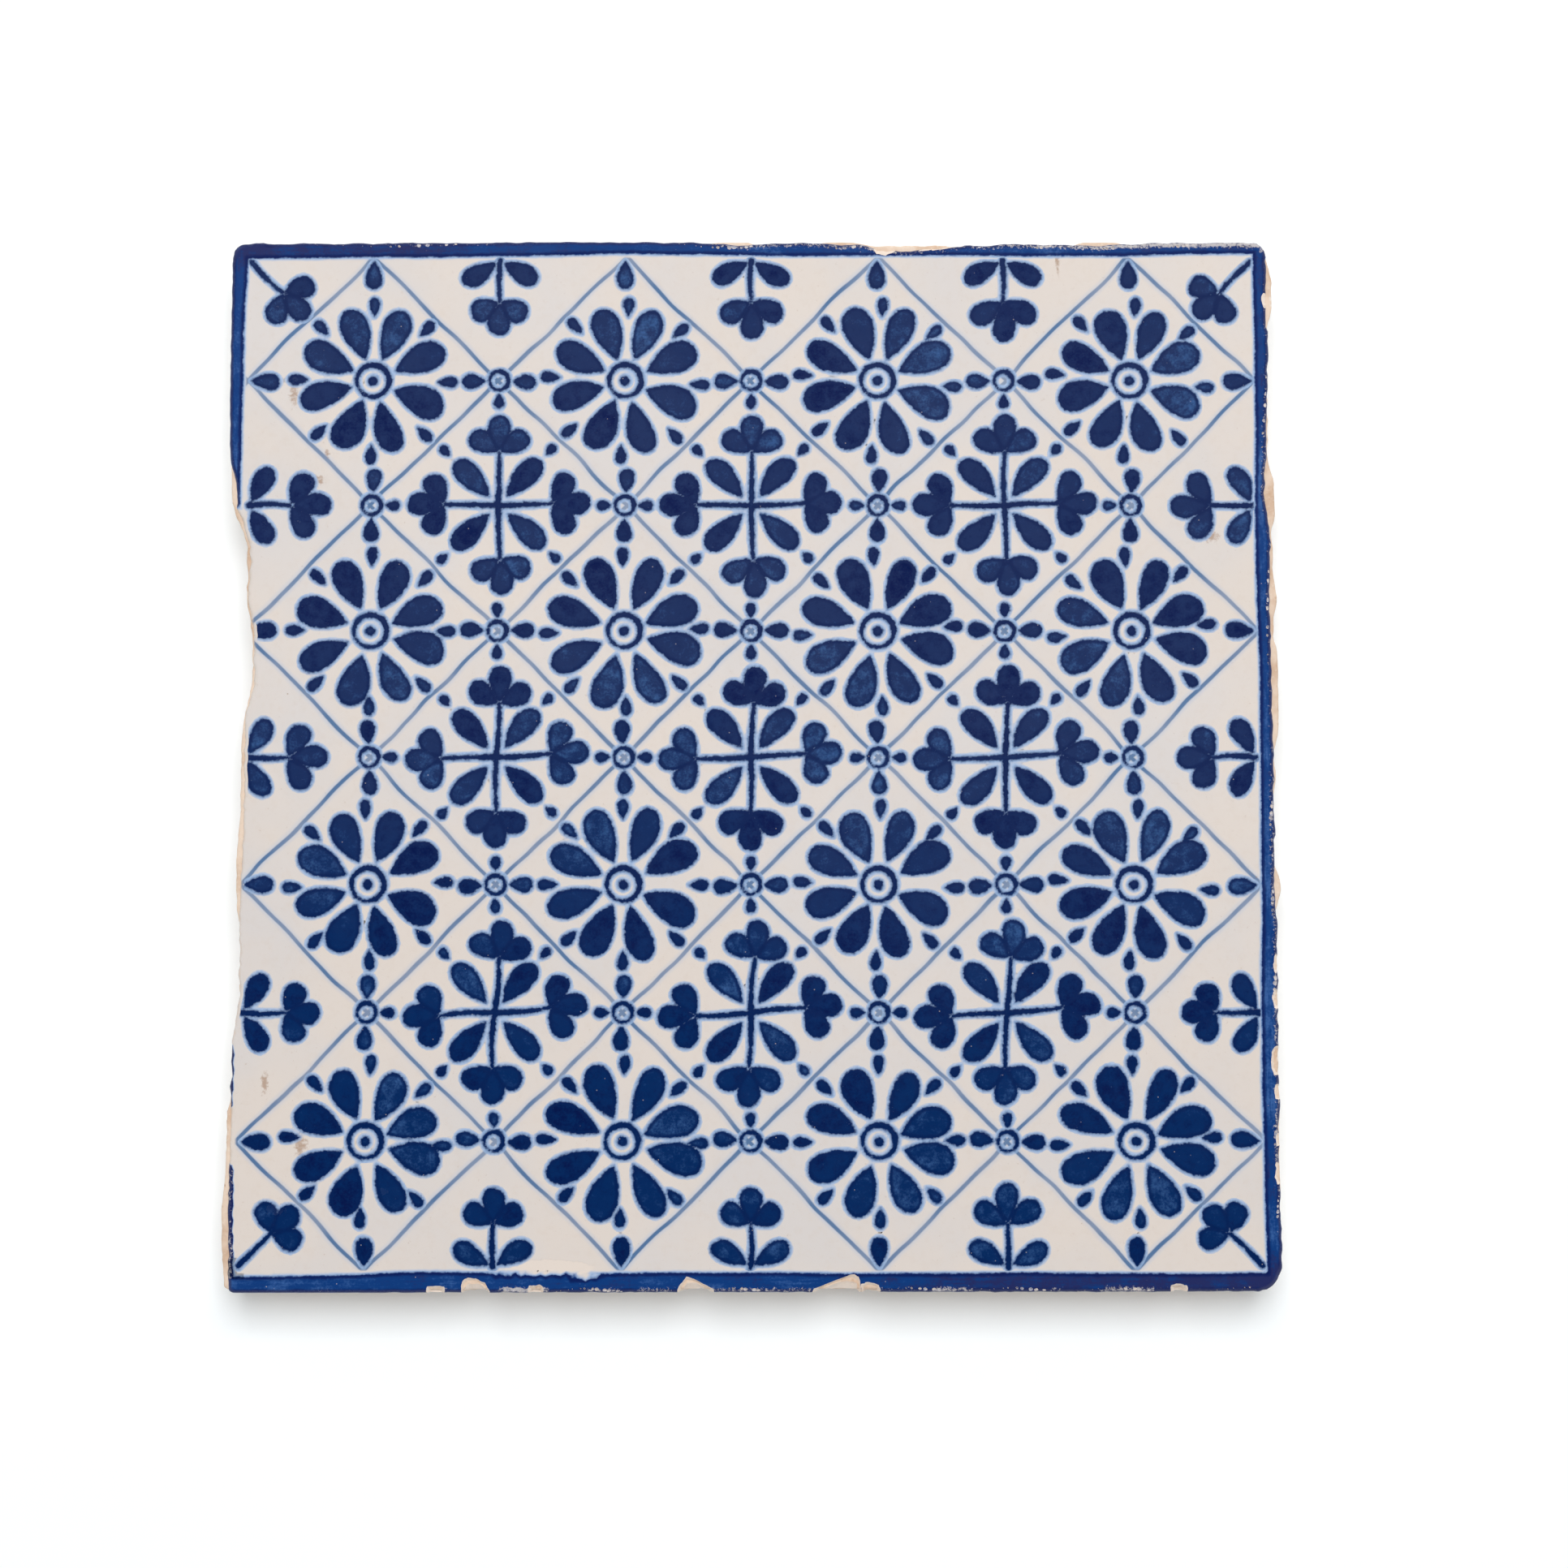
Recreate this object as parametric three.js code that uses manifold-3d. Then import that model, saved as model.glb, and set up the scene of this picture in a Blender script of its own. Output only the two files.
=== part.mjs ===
// A square wall tile: a biscuit clay body under a coat of white tin glaze, painted in cobalt blue.
// Units are millimetres. The bare back lies on z = 0, the painted face looks up +Z,
// and +Y points to the top edge of the painting. The origin is the centre of the back.
// The tile is hand made and worn, so its edges are not straight and some of its rim is chipped.

import * as THREE from 'three';
import { mergeVertices } from 'three/addons/utils/BufferGeometryUtils.js';
import Module from 'manifold-3d';

const wasm = await Module();
wasm.setup();

// Driving dimensions
const SIDE = 130;
const THICKNESS = 8.5;
const PAINT_HEIGHT = 0.05;
const COAT_HEIGHT = 0.45;
const COAT_LAP = 1.9;
const UNDERCUT = 1.3;
const CORNER_RADIUS = 1.6;
const CLAY_ARRIS = 0.4;
const GLAZE_ARRIS = 0.5;

const HALF = SIDE / 2;
const GLAZE_TOP = THICKNESS - PAINT_HEIGHT;
const CLAY_TOP = GLAZE_TOP - COAT_HEIGHT;
const LAP_LEVEL = CLAY_TOP - COAT_LAP;

// The sides of the clay and of the coat, from the bottom up: a height and how far it is drawn in there
const CLAY_LEVELS = [
  { z: 0, inset: UNDERCUT },
  { z: LAP_LEVEL, inset: 0.25 },
  { z: CLAY_TOP - CLAY_ARRIS, inset: 0 },
  { z: CLAY_TOP, inset: CLAY_ARRIS },
];
const GLAZE_LEVELS = [
  { z: LAP_LEVEL, inset: 0.35 },
  { z: GLAZE_TOP - 0.8, inset: 0 },
  { z: GLAZE_TOP - 0.25, inset: 0.15 },
  { z: GLAZE_TOP, inset: GLAZE_ARRIS },
];

// The wear of each edge, as [distance along the side, how far the edge lies inside the square].
// Distances run from left to right, or from bottom to top, and are zero at the middle of the side.
const CLAY_WEAR = {
  bottom: [[-62, 0.48], [-36, 0.55], [-8, 0.5], [16, 0.62], [40, 0.56], [53, 0.85], [61, 0.72]],
  right: [[-61, 1.1], [-42, 1.25], [-25, 0.9], [-20, 0.5], [-14, 1.2], [3, 1.2], [7, 0.1], [12, 0.1],
    [15, 1.1], [18, 0], [21, 0], [25, 1.0], [31, 1.3], [33, 0], [36, 0.3], [40, 1.2], [55, 1.2],
    [57, 0.1], [60, 0.2], [61.5, 1.2]],
  top: [[-61, 0.85], [-8, 1.0], [-4, 0.05], [0, 0], [2, 0.9], [7, 1.0], [9, 0.05], [13, 0.15], [15, 0.6],
    [26, 0.7], [28, 1.05], [39, 0.9], [41, 0.1], [45, 0.15], [47, 0.95], [61, 1.25]],
  left: [[-61, 0.4], [-54, 0.2], [-48, 0.7], [-40, 1.0], [-28, 1.2], [-13, 1.2], [-8, 1.9], [2, 1.8],
    [5, 2.2], [9, 2.9], [12, 3.1], [15, 2.6], [21, 2.4], [26, 2.1], [30, 0.9], [34, 0.4], [41, 0.35],
    [61, 0.7]],
};
const GLAZE_WEAR = {
  bottom: [[-62, 0.1], [-36, 0.2], [0, 0.25], [40, 0.3], [61, 0.35]],
  right: [[-61, 0.7], [-42, 0.95], [-25, 1.1], [-18, 1.4], [-10, 0.9], [3, 0.9], [7, 1.1], [14, 1.1],
    [20, 1.2], [25, 0.9], [31, 1.0], [34, 1.3], [40, 0.9], [55, 0.9], [58, 1.2], [61, 0.9]],
  top: [[-61, 0.45], [-40, 0.35], [-8, 0.3], [-2, 0.7], [4, 0.4], [11, 0.65], [14, 0.6], [15.5, 1.5],
    [22, 1.2], [26, 0.75], [32, 0.5], [43, 0.65], [50, 0.35], [61, 0.35]],
  left: [[-61, 1.3], [-52, 1.2], [-38, 1.7], [-28, 1.9], [-13, 1.9], [-8, 2.5], [2, 2.4], [6, 2.9],
    [11, 3.6], [15, 3.2], [21, 3.0], [26, 2.7], [30, 1.5], [34, 0.3], [41, 0], [61, 0.35]],
};

// Scooped chips: the side, the place along it, and the width, reach inwards and depth of the scoop.
const CHIPS = [
  { side: 'bottom', along: -33.4, width: 3.2, reach: 1.95, depth: 1.3 },
  { side: 'bottom', along: -7.0, width: 4.6, reach: 2.1, depth: 1.4 },
  { side: 'bottom', along: 10.8, width: 5.4, reach: 2.3, depth: 1.4 },
  { side: 'top', along: 16.4, width: 3.4, reach: 2.1, depth: 0.6 },
  { side: 'right', along: -50.4, width: 2.8, reach: 1.4, depth: 0.6 },
  { side: 'right', along: -37.0, width: 3.4, reach: 1.7, depth: 0.9 },
  { side: 'right', along: -29.2, width: 2.4, reach: 1.5, depth: 0.7 },
];
const CHIP_RIM = 0.3;
const CHIP_FACETS = { round: 9, down: 6 };

// The painted frame: the width of each band, measured from the square, and the space left between bands
const BAND = { left: 2.1, right: 2.45, top: 2.2, bottom: 2.8 };
const STROKE_GAP = 0.3;
const TOP_BAND_BREAK = 16;
const LEFT_BAND_END = 32;
const LEFT_REMNANT = { from: -56, to: -36, inner: 2.7 };

// The painted field: diamonds in a diagonal repeat, four across and four up
const REPEATS = 4;
const FIELD = {
  x: (BAND.left - BAND.right) / 2,
  y: (BAND.bottom - BAND.top) / 2,
  width: SIDE - BAND.left - BAND.right,
  height: SIDE - BAND.bottom - BAND.top,
};
const PITCH = Math.min(FIELD.width, FIELD.height) / REPEATS;

// Brush dabs: outline points as fractions of the length and of the width, from the tip to the round end.
// Lengths and widths are in millimetres, and spreads and turns in radians.
const DAB_OUTLINE = [[0.5, 0.43], [0.82, 0.5], [1, 0.22]];
const ROSETTE = { petals: 8, disc: 2.3, start: 1.4, length: 7.9, width: 3.3 };
const CROSS = { stem: 6.6, stemWidth: 0.9 };
const CROSS_DAB = { start: 0.5, length: 7.2, width: 2.7 };
const TREFOIL = { length: 4.6, width: 2.7, spread: 1.02, sideLength: 0.85, start: -0.3 };
const SPRIG = { root: 1.1, stem: 5.6, dabLength: 4.6, dabWidth: 2.4, dabSpread: 1.05 };
const CORNER_SPRIG = { root: 1.6, stem: 6.4 };
const HAND = { turn: 0.06, size: 0.06 };

// Points of one geometry that are closer than WELD are the same point,
// and points closer than SEAM to a straight line are left out of a joined outline.
const WELD = 1e-5;
const SEAM = 1e-4;

const clay = new THREE.MeshStandardMaterial({ color: 0xdcb898, roughness: 0.9, metalness: 0 });
const whiteGlaze = new THREE.MeshStandardMaterial({ color: 0xe4dad0, roughness: 0.22, metalness: 0 });
const darkCobalt = new THREE.MeshStandardMaterial({ color: 0x1c2d64, roughness: 0.25, metalness: 0 });
const bandCobalt = new THREE.MeshStandardMaterial({ color: 0x1e4187, roughness: 0.25, metalness: 0 });

const tile = new THREE.Group();

// Turns a three.js geometry into a solid that can be cut and joined.
function solidFrom(geometry) {
  geometry.deleteAttribute('normal');
  geometry.deleteAttribute('uv');
  const merged = mergeVertices(geometry, WELD);
  const mesh = new wasm.Mesh({
    numProp: 3,
    vertProperties: new Float32Array(merged.attributes.position.array),
    triVerts: new Uint32Array(merged.index.array),
  });
  return new wasm.Manifold(mesh);
}

// Turns a solid back into a geometry with flat faces.
function geometryFrom(solid) {
  const mesh = solid.getMesh();
  const geometry = new THREE.BufferGeometry();
  geometry.setAttribute('position', new THREE.BufferAttribute(mesh.vertProperties, 3));
  geometry.setIndex(new THREE.BufferAttribute(mesh.triVerts, 1));
  const faceted = geometry.toNonIndexed();
  faceted.computeVertexNormals();
  return faceted;
}

function addPiece(name, solid, material, place = {}) {
  const piece = new THREE.Mesh(geometryFrom(solid), material);
  piece.name = name;
  piece.position.set(place.x ?? 0, place.y ?? 0, place.z ?? 0);
  piece.rotation.z = place.turn ?? 0;
  tile.add(piece);
}

// A small repeatable difference between one brush stroke and the next, from -1 to 1.
function handOf(a, b, c = 0) {
  return Math.sin(12.9898 * a + 78.233 * b + 37.719 * c);
}

// One corner of an outline, rounded between the last point of one side and the first of the next.
function roundCorner(shape, signX, signY, insideX, insideY, startAngle) {
  const x = signX * (HALF - insideX - CORNER_RADIUS);
  const y = signY * (HALF - insideY - CORNER_RADIUS);
  shape.absarc(x, y, CORNER_RADIUS, startAngle, startAngle + Math.PI / 2);
}

// The outline of the face, counter-clockwise, from the wear of its four edges.
function wornOutline(wear) {
  const shape = new THREE.Shape();
  const first = (side) => wear[side][0][1];
  const last = (side) => wear[side].at(-1)[1];
  const [startX, startInside] = wear.bottom[0];
  shape.moveTo(startX, startInside - HALF);
  for (const [along, inside] of wear.bottom.slice(1)) shape.lineTo(along, inside - HALF);
  roundCorner(shape, 1, -1, first('right'), last('bottom'), -Math.PI / 2);
  for (const [along, inside] of wear.right) shape.lineTo(HALF - inside, along);
  roundCorner(shape, 1, 1, last('right'), last('top'), 0);
  for (const [along, inside] of wear.top.toReversed()) shape.lineTo(along, HALF - inside);
  roundCorner(shape, -1, 1, last('left'), first('top'), Math.PI / 2);
  for (const [along, inside] of wear.left.toReversed()) shape.lineTo(inside - HALF, along);
  roundCorner(shape, -1, -1, first('left'), first('bottom'), Math.PI);
  return shape;
}

// A solid with one outline, drawn in by a different amount at each level of height.
function steppedSolid(shape, levels) {
  const steps = levels.length - 1;
  const geometry = new THREE.ExtrudeGeometry(shape, {
    depth: 1, steps, curveSegments: 2, bevelEnabled: false,
  });
  const position = geometry.attributes.position;
  for (let i = 0; i < position.count; i += 1) {
    const level = levels[Math.round(position.getZ(i) * steps)];
    const scale = 1 - level.inset / HALF;
    position.setXYZ(i, position.getX(i) * scale, position.getY(i) * scale, level.z);
  }
  return solidFrom(geometry);
}

// The scoop that a knock takes out of the rim. The coat breaks back further than the clay.
function chipScoop(chip, grow) {
  const geometry = new THREE.SphereGeometry(1, CHIP_FACETS.round, CHIP_FACETS.down);
  geometry.rotateX(Math.PI / 2);
  geometry.scale(chip.width / 2 + grow, chip.reach + grow, chip.depth + grow);
  geometry.translate(0, -HALF, 0);
  const turns = { bottom: 0, right: Math.PI / 2, top: Math.PI, left: -Math.PI / 2 };
  geometry.rotateZ(turns[chip.side]);
  const alongX = chip.side === 'bottom' || chip.side === 'top';
  geometry.translate(alongX ? chip.along : 0, alongX ? 0 : chip.along, CLAY_TOP);
  return solidFrom(geometry);
}

function withoutChips(solid, grow) {
  return CHIPS.reduce((left, chip) => left.subtract(chipScoop(chip, grow)), solid);
}

// The biscuit: sides cut back towards the bare underside, and a softened arris round the face.
function makeClayBody() {
  return withoutChips(steppedSolid(wornOutline(CLAY_WEAR), CLAY_LEVELS), 0);
}

// The coat: it covers the face, rolls over the arris and ends in a lapped rim on the sides.
function makeGlazeCoat(clayBody) {
  const block = steppedSolid(wornOutline(GLAZE_WEAR), GLAZE_LEVELS);
  return withoutChips(block, CHIP_RIM).subtract(clayBody);
}

// A prism of paint over a rectangle of the face, trimmed to the flat of the glaze.
function makeBand(left, bottom, right, top) {
  const flat = steppedSolid(wornOutline(GLAZE_WEAR), [
    { z: GLAZE_TOP, inset: GLAZE_ARRIS },
    { z: THICKNESS, inset: GLAZE_ARRIS },
  ]);
  const block = new THREE.BoxGeometry(right - left, top - bottom, THICKNESS);
  block.translate((left + right) / 2, (bottom + top) / 2, GLAZE_TOP);
  return withoutChips(flat.intersect(solidFrom(block)), CHIP_RIM);
}

function paintFrom(shape) {
  return solidFrom(new THREE.ExtrudeGeometry(shape, { depth: PAINT_HEIGHT, bevelEnabled: false }));
}

// A teardrop left by one touch of a loaded brush, with its point at a given distance from the centre.
function paintDab({ start, length, width, turn, from = [0, 0] }) {
  const upper = DAB_OUTLINE.map(([u, v]) => [start + u * length, v * width]);
  const lower = upper.map(([x, y]) => [x, -y]);
  const cos = Math.cos(turn);
  const sin = Math.sin(turn);
  const corners = [[start, 0], ...lower, ...upper.toReversed()];
  return paintFrom(new THREE.Shape(corners.map(
    ([x, y]) => new THREE.Vector2(from[0] + x * cos - y * sin, from[1] + x * sin + y * cos),
  )));
}

function paintDisc(radius) {
  const disc = new THREE.CylinderGeometry(radius, radius, PAINT_HEIGHT, ROSETTE.petals);
  disc.rotateX(Math.PI / 2);
  disc.translate(0, 0, PAINT_HEIGHT / 2);
  return solidFrom(disc);
}

// A straight brush line from one distance to another along a direction.
function paintLine(start, end, width, turn) {
  const block = new THREE.BoxGeometry(end - start, width, PAINT_HEIGHT);
  block.translate((start + end) / 2, 0, PAINT_HEIGHT / 2);
  block.rotateZ(turn);
  return solidFrom(block);
}

// One solid from several that touch, without the seams that cross their shared flat faces.
function joined(solids) {
  return solids.reduce((whole, solid) => whole.add(solid)).asOriginal().simplify(SEAM);
}

// A round flower: a disc and a ring of dabs whose points run into it.
function makeRosette(row, column) {
  const petals = Array.from({ length: ROSETTE.petals }, (_, i) => paintDab({
    start: ROSETTE.start,
    length: ROSETTE.length * (1 + HAND.size * handOf(row, column, i)),
    width: ROSETTE.width * (1 + HAND.size * handOf(column, i, row)),
    turn: (i + 0.5) * 2 * Math.PI / ROSETTE.petals + HAND.turn * handOf(i, row, column),
  }));
  return joined([paintDisc(ROSETTE.disc), ...petals]);
}

// Three dabs that fan out from the end of a stem.
function paintTrefoil(stemEnd, size, turn) {
  const from = [stemEnd * Math.cos(turn), stemEnd * Math.sin(turn)];
  const length = TREFOIL.length * size;
  return [-TREFOIL.spread, 0, TREFOIL.spread].map((side) => paintDab({
    start: TREFOIL.start,
    length: side === 0 ? length : length * TREFOIL.sideLength,
    width: TREFOIL.width,
    turn: turn + side,
    from,
  }));
}

// A cross of four stems that end in trefoils, with a dab in each angle.
function makeCross(row, column) {
  const strokes = [];
  for (let i = 0; i < 4; i += 1) {
    const turn = i * Math.PI / 2 + HAND.turn * handOf(row, i, column);
    const size = 1 + HAND.size * handOf(i, column, row);
    strokes.push(paintLine(0, CROSS.stem, CROSS.stemWidth, turn));
    strokes.push(...paintTrefoil(CROSS.stem, size, turn));
    strokes.push(paintDab({ ...CROSS_DAB, turn: turn + Math.PI / 4 }));
  }
  return joined(strokes);
}

// A sprig that grows from the frame into the field: a stem with a trefoil and two dabs at its foot.
function makeSprig(seed) {
  const dabs = [-SPRIG.dabSpread, SPRIG.dabSpread].map((turn) => paintDab({
    start: 0, length: SPRIG.dabLength, width: SPRIG.dabWidth, turn, from: [SPRIG.root, 0],
  }));
  return joined([makeStem(SPRIG, seed), ...dabs]);
}

// A straight stem with a trefoil at its end.
function makeStem({ root, stem }, seed) {
  const size = 1 + HAND.size * handOf(seed, 3, 1);
  return joined([paintLine(root, stem, CROSS.stemWidth, 0), ...paintTrefoil(stem, size, 0)]);
}

const clayBody = makeClayBody();
addPiece('clay_body', clayBody, clay);
addPiece('tin_glaze', makeGlazeCoat(clayBody), whiteGlaze);

const fieldLeft = BAND.left - HALF;
const fieldRight = HALF - BAND.right;
const fieldBottom = BAND.bottom - HALF;
const fieldTop = HALF - BAND.top;
const bandTopLeft = makeBand(-HALF, fieldTop, TOP_BAND_BREAK, HALF);
const bandTopRight = makeBand(TOP_BAND_BREAK, fieldTop, HALF, HALF);
const bandBottom = makeBand(-HALF, -HALF, HALF, fieldBottom);
const bandRight = makeBand(fieldRight, fieldBottom + STROKE_GAP, HALF, fieldTop - STROKE_GAP);
const bandLeft = makeBand(-HALF, LEFT_BAND_END, fieldLeft, fieldTop - STROKE_GAP);
const remnant = makeBand(-HALF, LEFT_REMNANT.from, LEFT_REMNANT.inner - HALF, LEFT_REMNANT.to);
addPiece('border_top_left', bandTopLeft, bandCobalt);
addPiece('border_top_right', bandTopRight, bandCobalt);
addPiece('border_bottom', bandBottom, bandCobalt);
addPiece('border_right', bandRight, bandCobalt);
addPiece('border_left_upper', bandLeft, bandCobalt);
addPiece('border_left_lower', remnant, bandCobalt);

// Rosettes stand in the middles of the repeats, and crosses where four repeats meet.
for (let row = 1; row <= REPEATS; row += 1) {
  for (let column = 1; column <= REPEATS; column += 1) {
    addPiece(`rosette_${row}_${column}`, makeRosette(row, column), darkCobalt, {
      x: FIELD.x + (column - (REPEATS + 1) / 2) * PITCH,
      y: FIELD.y - (row - (REPEATS + 1) / 2) * PITCH,
      z: GLAZE_TOP,
    });
  }
}
for (let row = 1; row < REPEATS; row += 1) {
  for (let column = 1; column < REPEATS; column += 1) {
    addPiece(`cross_${row}_${column}`, makeCross(row, column), darkCobalt, {
      x: FIELD.x + (column - REPEATS / 2) * PITCH,
      y: FIELD.y - (row - REPEATS / 2) * PITCH,
      z: GLAZE_TOP,
    });
  }
}

// Half repeats along the frame and quarter repeats in its corners each hold one sprig.
const halfWidth = FIELD.width / 2;
const halfHeight = FIELD.height / 2;
for (let i = 1; i < REPEATS; i += 1) {
  const along = (i - REPEATS / 2) * PITCH;
  const sides = [
    { name: 'bottom', x: along, y: -halfHeight, turn: Math.PI / 2 },
    { name: 'right', x: halfWidth, y: along, turn: Math.PI },
    { name: 'top', x: along, y: halfHeight, turn: -Math.PI / 2 },
    { name: 'left', x: -halfWidth, y: along, turn: 0 },
  ];
  for (const [index, { name, x, y, turn }] of sides.entries()) {
    addPiece(`sprig_${name}_${i}`, makeSprig(index * REPEATS + i), darkCobalt, {
      x: FIELD.x + x, y: FIELD.y + y, z: GLAZE_TOP, turn,
    });
  }
}
const corners = [
  { name: 'bottom_left', x: -halfWidth, y: -halfHeight, turn: Math.PI / 4 },
  { name: 'bottom_right', x: halfWidth, y: -halfHeight, turn: 3 * Math.PI / 4 },
  { name: 'top_right', x: halfWidth, y: halfHeight, turn: -3 * Math.PI / 4 },
  { name: 'top_left', x: -halfWidth, y: halfHeight, turn: -Math.PI / 4 },
];
for (const [index, { name, x, y, turn }] of corners.entries()) {
  addPiece(`corner_sprig_${name}`, makeStem(CORNER_SPRIG, 20 + index), darkCobalt, {
    x: FIELD.x + x, y: FIELD.y + y, z: GLAZE_TOP, turn,
  });
}

export default tile;
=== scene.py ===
# A square wall tile of tin-glazed earthenware, painted in cobalt blue, with a worn and chipped rim.
# Tables and sizes in this file are in millimetres, as such a tile is measured. Meshes are in metres.
import math

import bmesh
import bpy
import numpy as np
from bmesh.types import BMEdge, BMVert
from mathutils import Matrix, Vector, noise


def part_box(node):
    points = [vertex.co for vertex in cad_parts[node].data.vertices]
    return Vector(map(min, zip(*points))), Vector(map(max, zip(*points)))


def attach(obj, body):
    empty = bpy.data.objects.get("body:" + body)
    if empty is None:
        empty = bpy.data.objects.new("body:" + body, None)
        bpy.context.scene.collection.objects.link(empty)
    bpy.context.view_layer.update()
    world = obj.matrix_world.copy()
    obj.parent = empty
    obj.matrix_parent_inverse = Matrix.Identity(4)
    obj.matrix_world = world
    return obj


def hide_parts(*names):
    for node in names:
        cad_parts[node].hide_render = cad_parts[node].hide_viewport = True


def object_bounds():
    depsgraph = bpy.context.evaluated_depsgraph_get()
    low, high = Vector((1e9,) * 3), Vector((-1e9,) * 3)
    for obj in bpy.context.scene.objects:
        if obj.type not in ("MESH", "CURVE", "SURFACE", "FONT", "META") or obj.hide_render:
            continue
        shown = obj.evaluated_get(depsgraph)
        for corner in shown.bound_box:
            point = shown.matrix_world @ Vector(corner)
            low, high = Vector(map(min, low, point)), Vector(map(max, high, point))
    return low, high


bl_info = {
    "name": "Painted Wall Tile",
    "version": (1, 0, 0),
    "blender": (4, 5, 0),
    "location": "View3D > Sidebar > Wall Tile",
    "description": "Builds the clay, glaze and cobalt painting of a worn wall tile",
    "category": "Mesh",
}

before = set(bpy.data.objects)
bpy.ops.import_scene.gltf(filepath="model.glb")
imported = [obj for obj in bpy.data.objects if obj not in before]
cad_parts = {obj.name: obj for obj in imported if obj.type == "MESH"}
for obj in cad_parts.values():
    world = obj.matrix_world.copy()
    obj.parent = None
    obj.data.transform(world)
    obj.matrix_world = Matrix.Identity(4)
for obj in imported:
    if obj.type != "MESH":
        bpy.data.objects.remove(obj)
CAD_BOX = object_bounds()
MM = 0.001

# The square, its layers and the painted field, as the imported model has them
HALF = CAD_BOX[1].x / MM
GLAZE_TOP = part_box("tin_glaze")[1].z / MM
LAP_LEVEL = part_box("tin_glaze")[0].z / MM
CLAY_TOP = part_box("clay_body")[1].z / MM
FIELD_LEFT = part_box("border_left_upper")[1].x / MM
FIELD_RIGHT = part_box("border_right")[0].x / MM
FIELD_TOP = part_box("border_top_left")[0].y / MM
FIELD_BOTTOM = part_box("border_bottom")[1].y / MM
FIELD_X = (FIELD_LEFT + FIELD_RIGHT) / 2
FIELD_Y = (FIELD_BOTTOM + FIELD_TOP) / 2
REPEATS = 4
PITCH = min(FIELD_RIGHT - FIELD_LEFT, FIELD_TOP - FIELD_BOTTOM) / REPEATS

# The wear of each edge, as (distance along the side, how far the edge lies inside the square).
# Distances run from left to right or from bottom to top, and are zero at the middle of the side.
SIDES = ("bottom", "right", "top", "left")
CLAY_WEAR = {
    "bottom": [(-62, 0.5), (-36, 0.5), (-8, 0.55), (16, 0.6), (40, 0.65), (53, 0.8), (61, 0.8)],
    "right": [(-61, 0.7), (-17.8, 0.8), (-16.9, 0.2), (-14.2, 0.2), (-13.5, 0.95), (-3.5, 0.95),
              (-2.5, 0.6), (-1, 0.55), (-0.5, 0.9), (1.5, 0.8), (3, 0.2), (14, 0.2), (14.8, 0.7),
              (18.2, 0.7), (19, 0.17), (21.2, 0.17), (22, 0.7), (26.5, 0.67), (28, 1.0), (29.5, 0.35),
              (33, 0.35), (35.2, 0.4), (36.5, 1.1), (54.5, 1.1), (55.5, 0.42), (61, 0.42), (61.8, 0.9)],
    "top": [(-61, 0.9), (-8, 0.9), (-5, 0.25), (-2.5, 0.05), (-0.5, 0.08), (1.5, 0.9), (7, 0.9),
            (8.5, 0.15), (12.5, 0.1), (13.5, 0.5), (15, 0.6), (26, 0.65), (28, 1.0), (39, 0.9),
            (40.5, 0.12), (45.5, 0.1), (47, 0.9), (61, 1.2)],
    "left": [(-63, 0.8), (-60.7, 0.6), (-55.2, 0.42), (-49.5, 0.95), (-46, 0.9), (-42.2, 1.1),
             (-41, 1.6), (-33, 1.9), (-30, 2.4), (-20.5, 2.35), (-18.7, 1.85), (-15.5, 1.7),
             (-11.1, 1.74), (-6.7, 2.08), (0, 2.14), (1.9, 2.05), (5.2, 2.33), (7.5, 2.97), (9.7, 3.27),
             (11.9, 3.4), (15.2, 3.3), (19.7, 2.57), (24.1, 2.6), (27.5, 2.35), (29.7, 1.4),
             (30.8, 0.74), (33, 0.49), (37, 0.36), (38.5, 0.7), (45, 0.9), (61.5, 0.9)],
}
GLAZE_WEAR = {
    "bottom": [(-62, 0.1), (-36, 0.2), (0, 0.25), (40, 0.3), (61, 0.35)],
    "right": [(-61, 0.66), (-56, 0.7), (-51.9, 0.9), (-45.5, 0.9), (-42.5, 0.73), (-39, 0.8), (-33, 0.8),
              (-20.5, 0.8), (-15.5, 1.0), (-5.5, 1.0), (-1.3, 1.0), (0.7, 0.85), (1.9, 1.0),
              (14.1, 1.08), (20, 1.2), (24.5, 1.2), (28.5, 1.05), (33, 1.7), (35.6, 1.6), (43.8, 1.18),
              (52.7, 0.96), (54.9, 1.2), (61.3, 1.2)],
    "top": [(-61, 0.45), (-40, 0.35), (-20, 0.25), (-8, 0.3), (-5, 0.5), (-2, 0.7), (1, 0.55), (4, 0.4),
            (8, 0.45), (11, 0.65), (13, 0.5), (14.2, 0.6), (15.5, 1.5), (18.5, 1.4), (22, 1.2),
            (26, 0.75), (32, 0.5), (38, 0.55), (42, 0.7), (46, 0.6), (50, 0.35), (61, 0.35)],
    "left": [(-63, 1.5), (-60.7, 1.5), (-55.2, 1.35), (-48.6, 1.45), (-41.9, 1.5), (-34, 1.55),
             (-28.9, 2.4), (-22.2, 2.24), (-18.7, 2.2), (-15.5, 2.37), (-11.1, 2.5), (-6.7, 2.57),
             (0, 2.6), (1.9, 2.5), (5.2, 2.56), (7.5, 3.2), (9.7, 3.65), (11.9, 3.6), (15.2, 3.6),
             (19.7, 2.75), (24.1, 2.95), (27.5, 2.8), (29.7, 1.8), (30.8, 1.35), (34.9, 1.15),
             (37.1, 0.3), (39.3, 0.25), (43.8, 0.2), (52.7, 0.2), (61.5, 0.3)],
}
# The radius of each corner, by the signs of its x and y
CORNER_RADII = {(-1, -1): 0.9, (1, -1): 3.2, (1, 1): 1.8, (-1, 1): 1.8}
# Wear is averaged over these shifts along the side, so that the outline bends softly
WEAR_SPREAD = (-0.9, -0.3, 0.3, 0.9)
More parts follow.
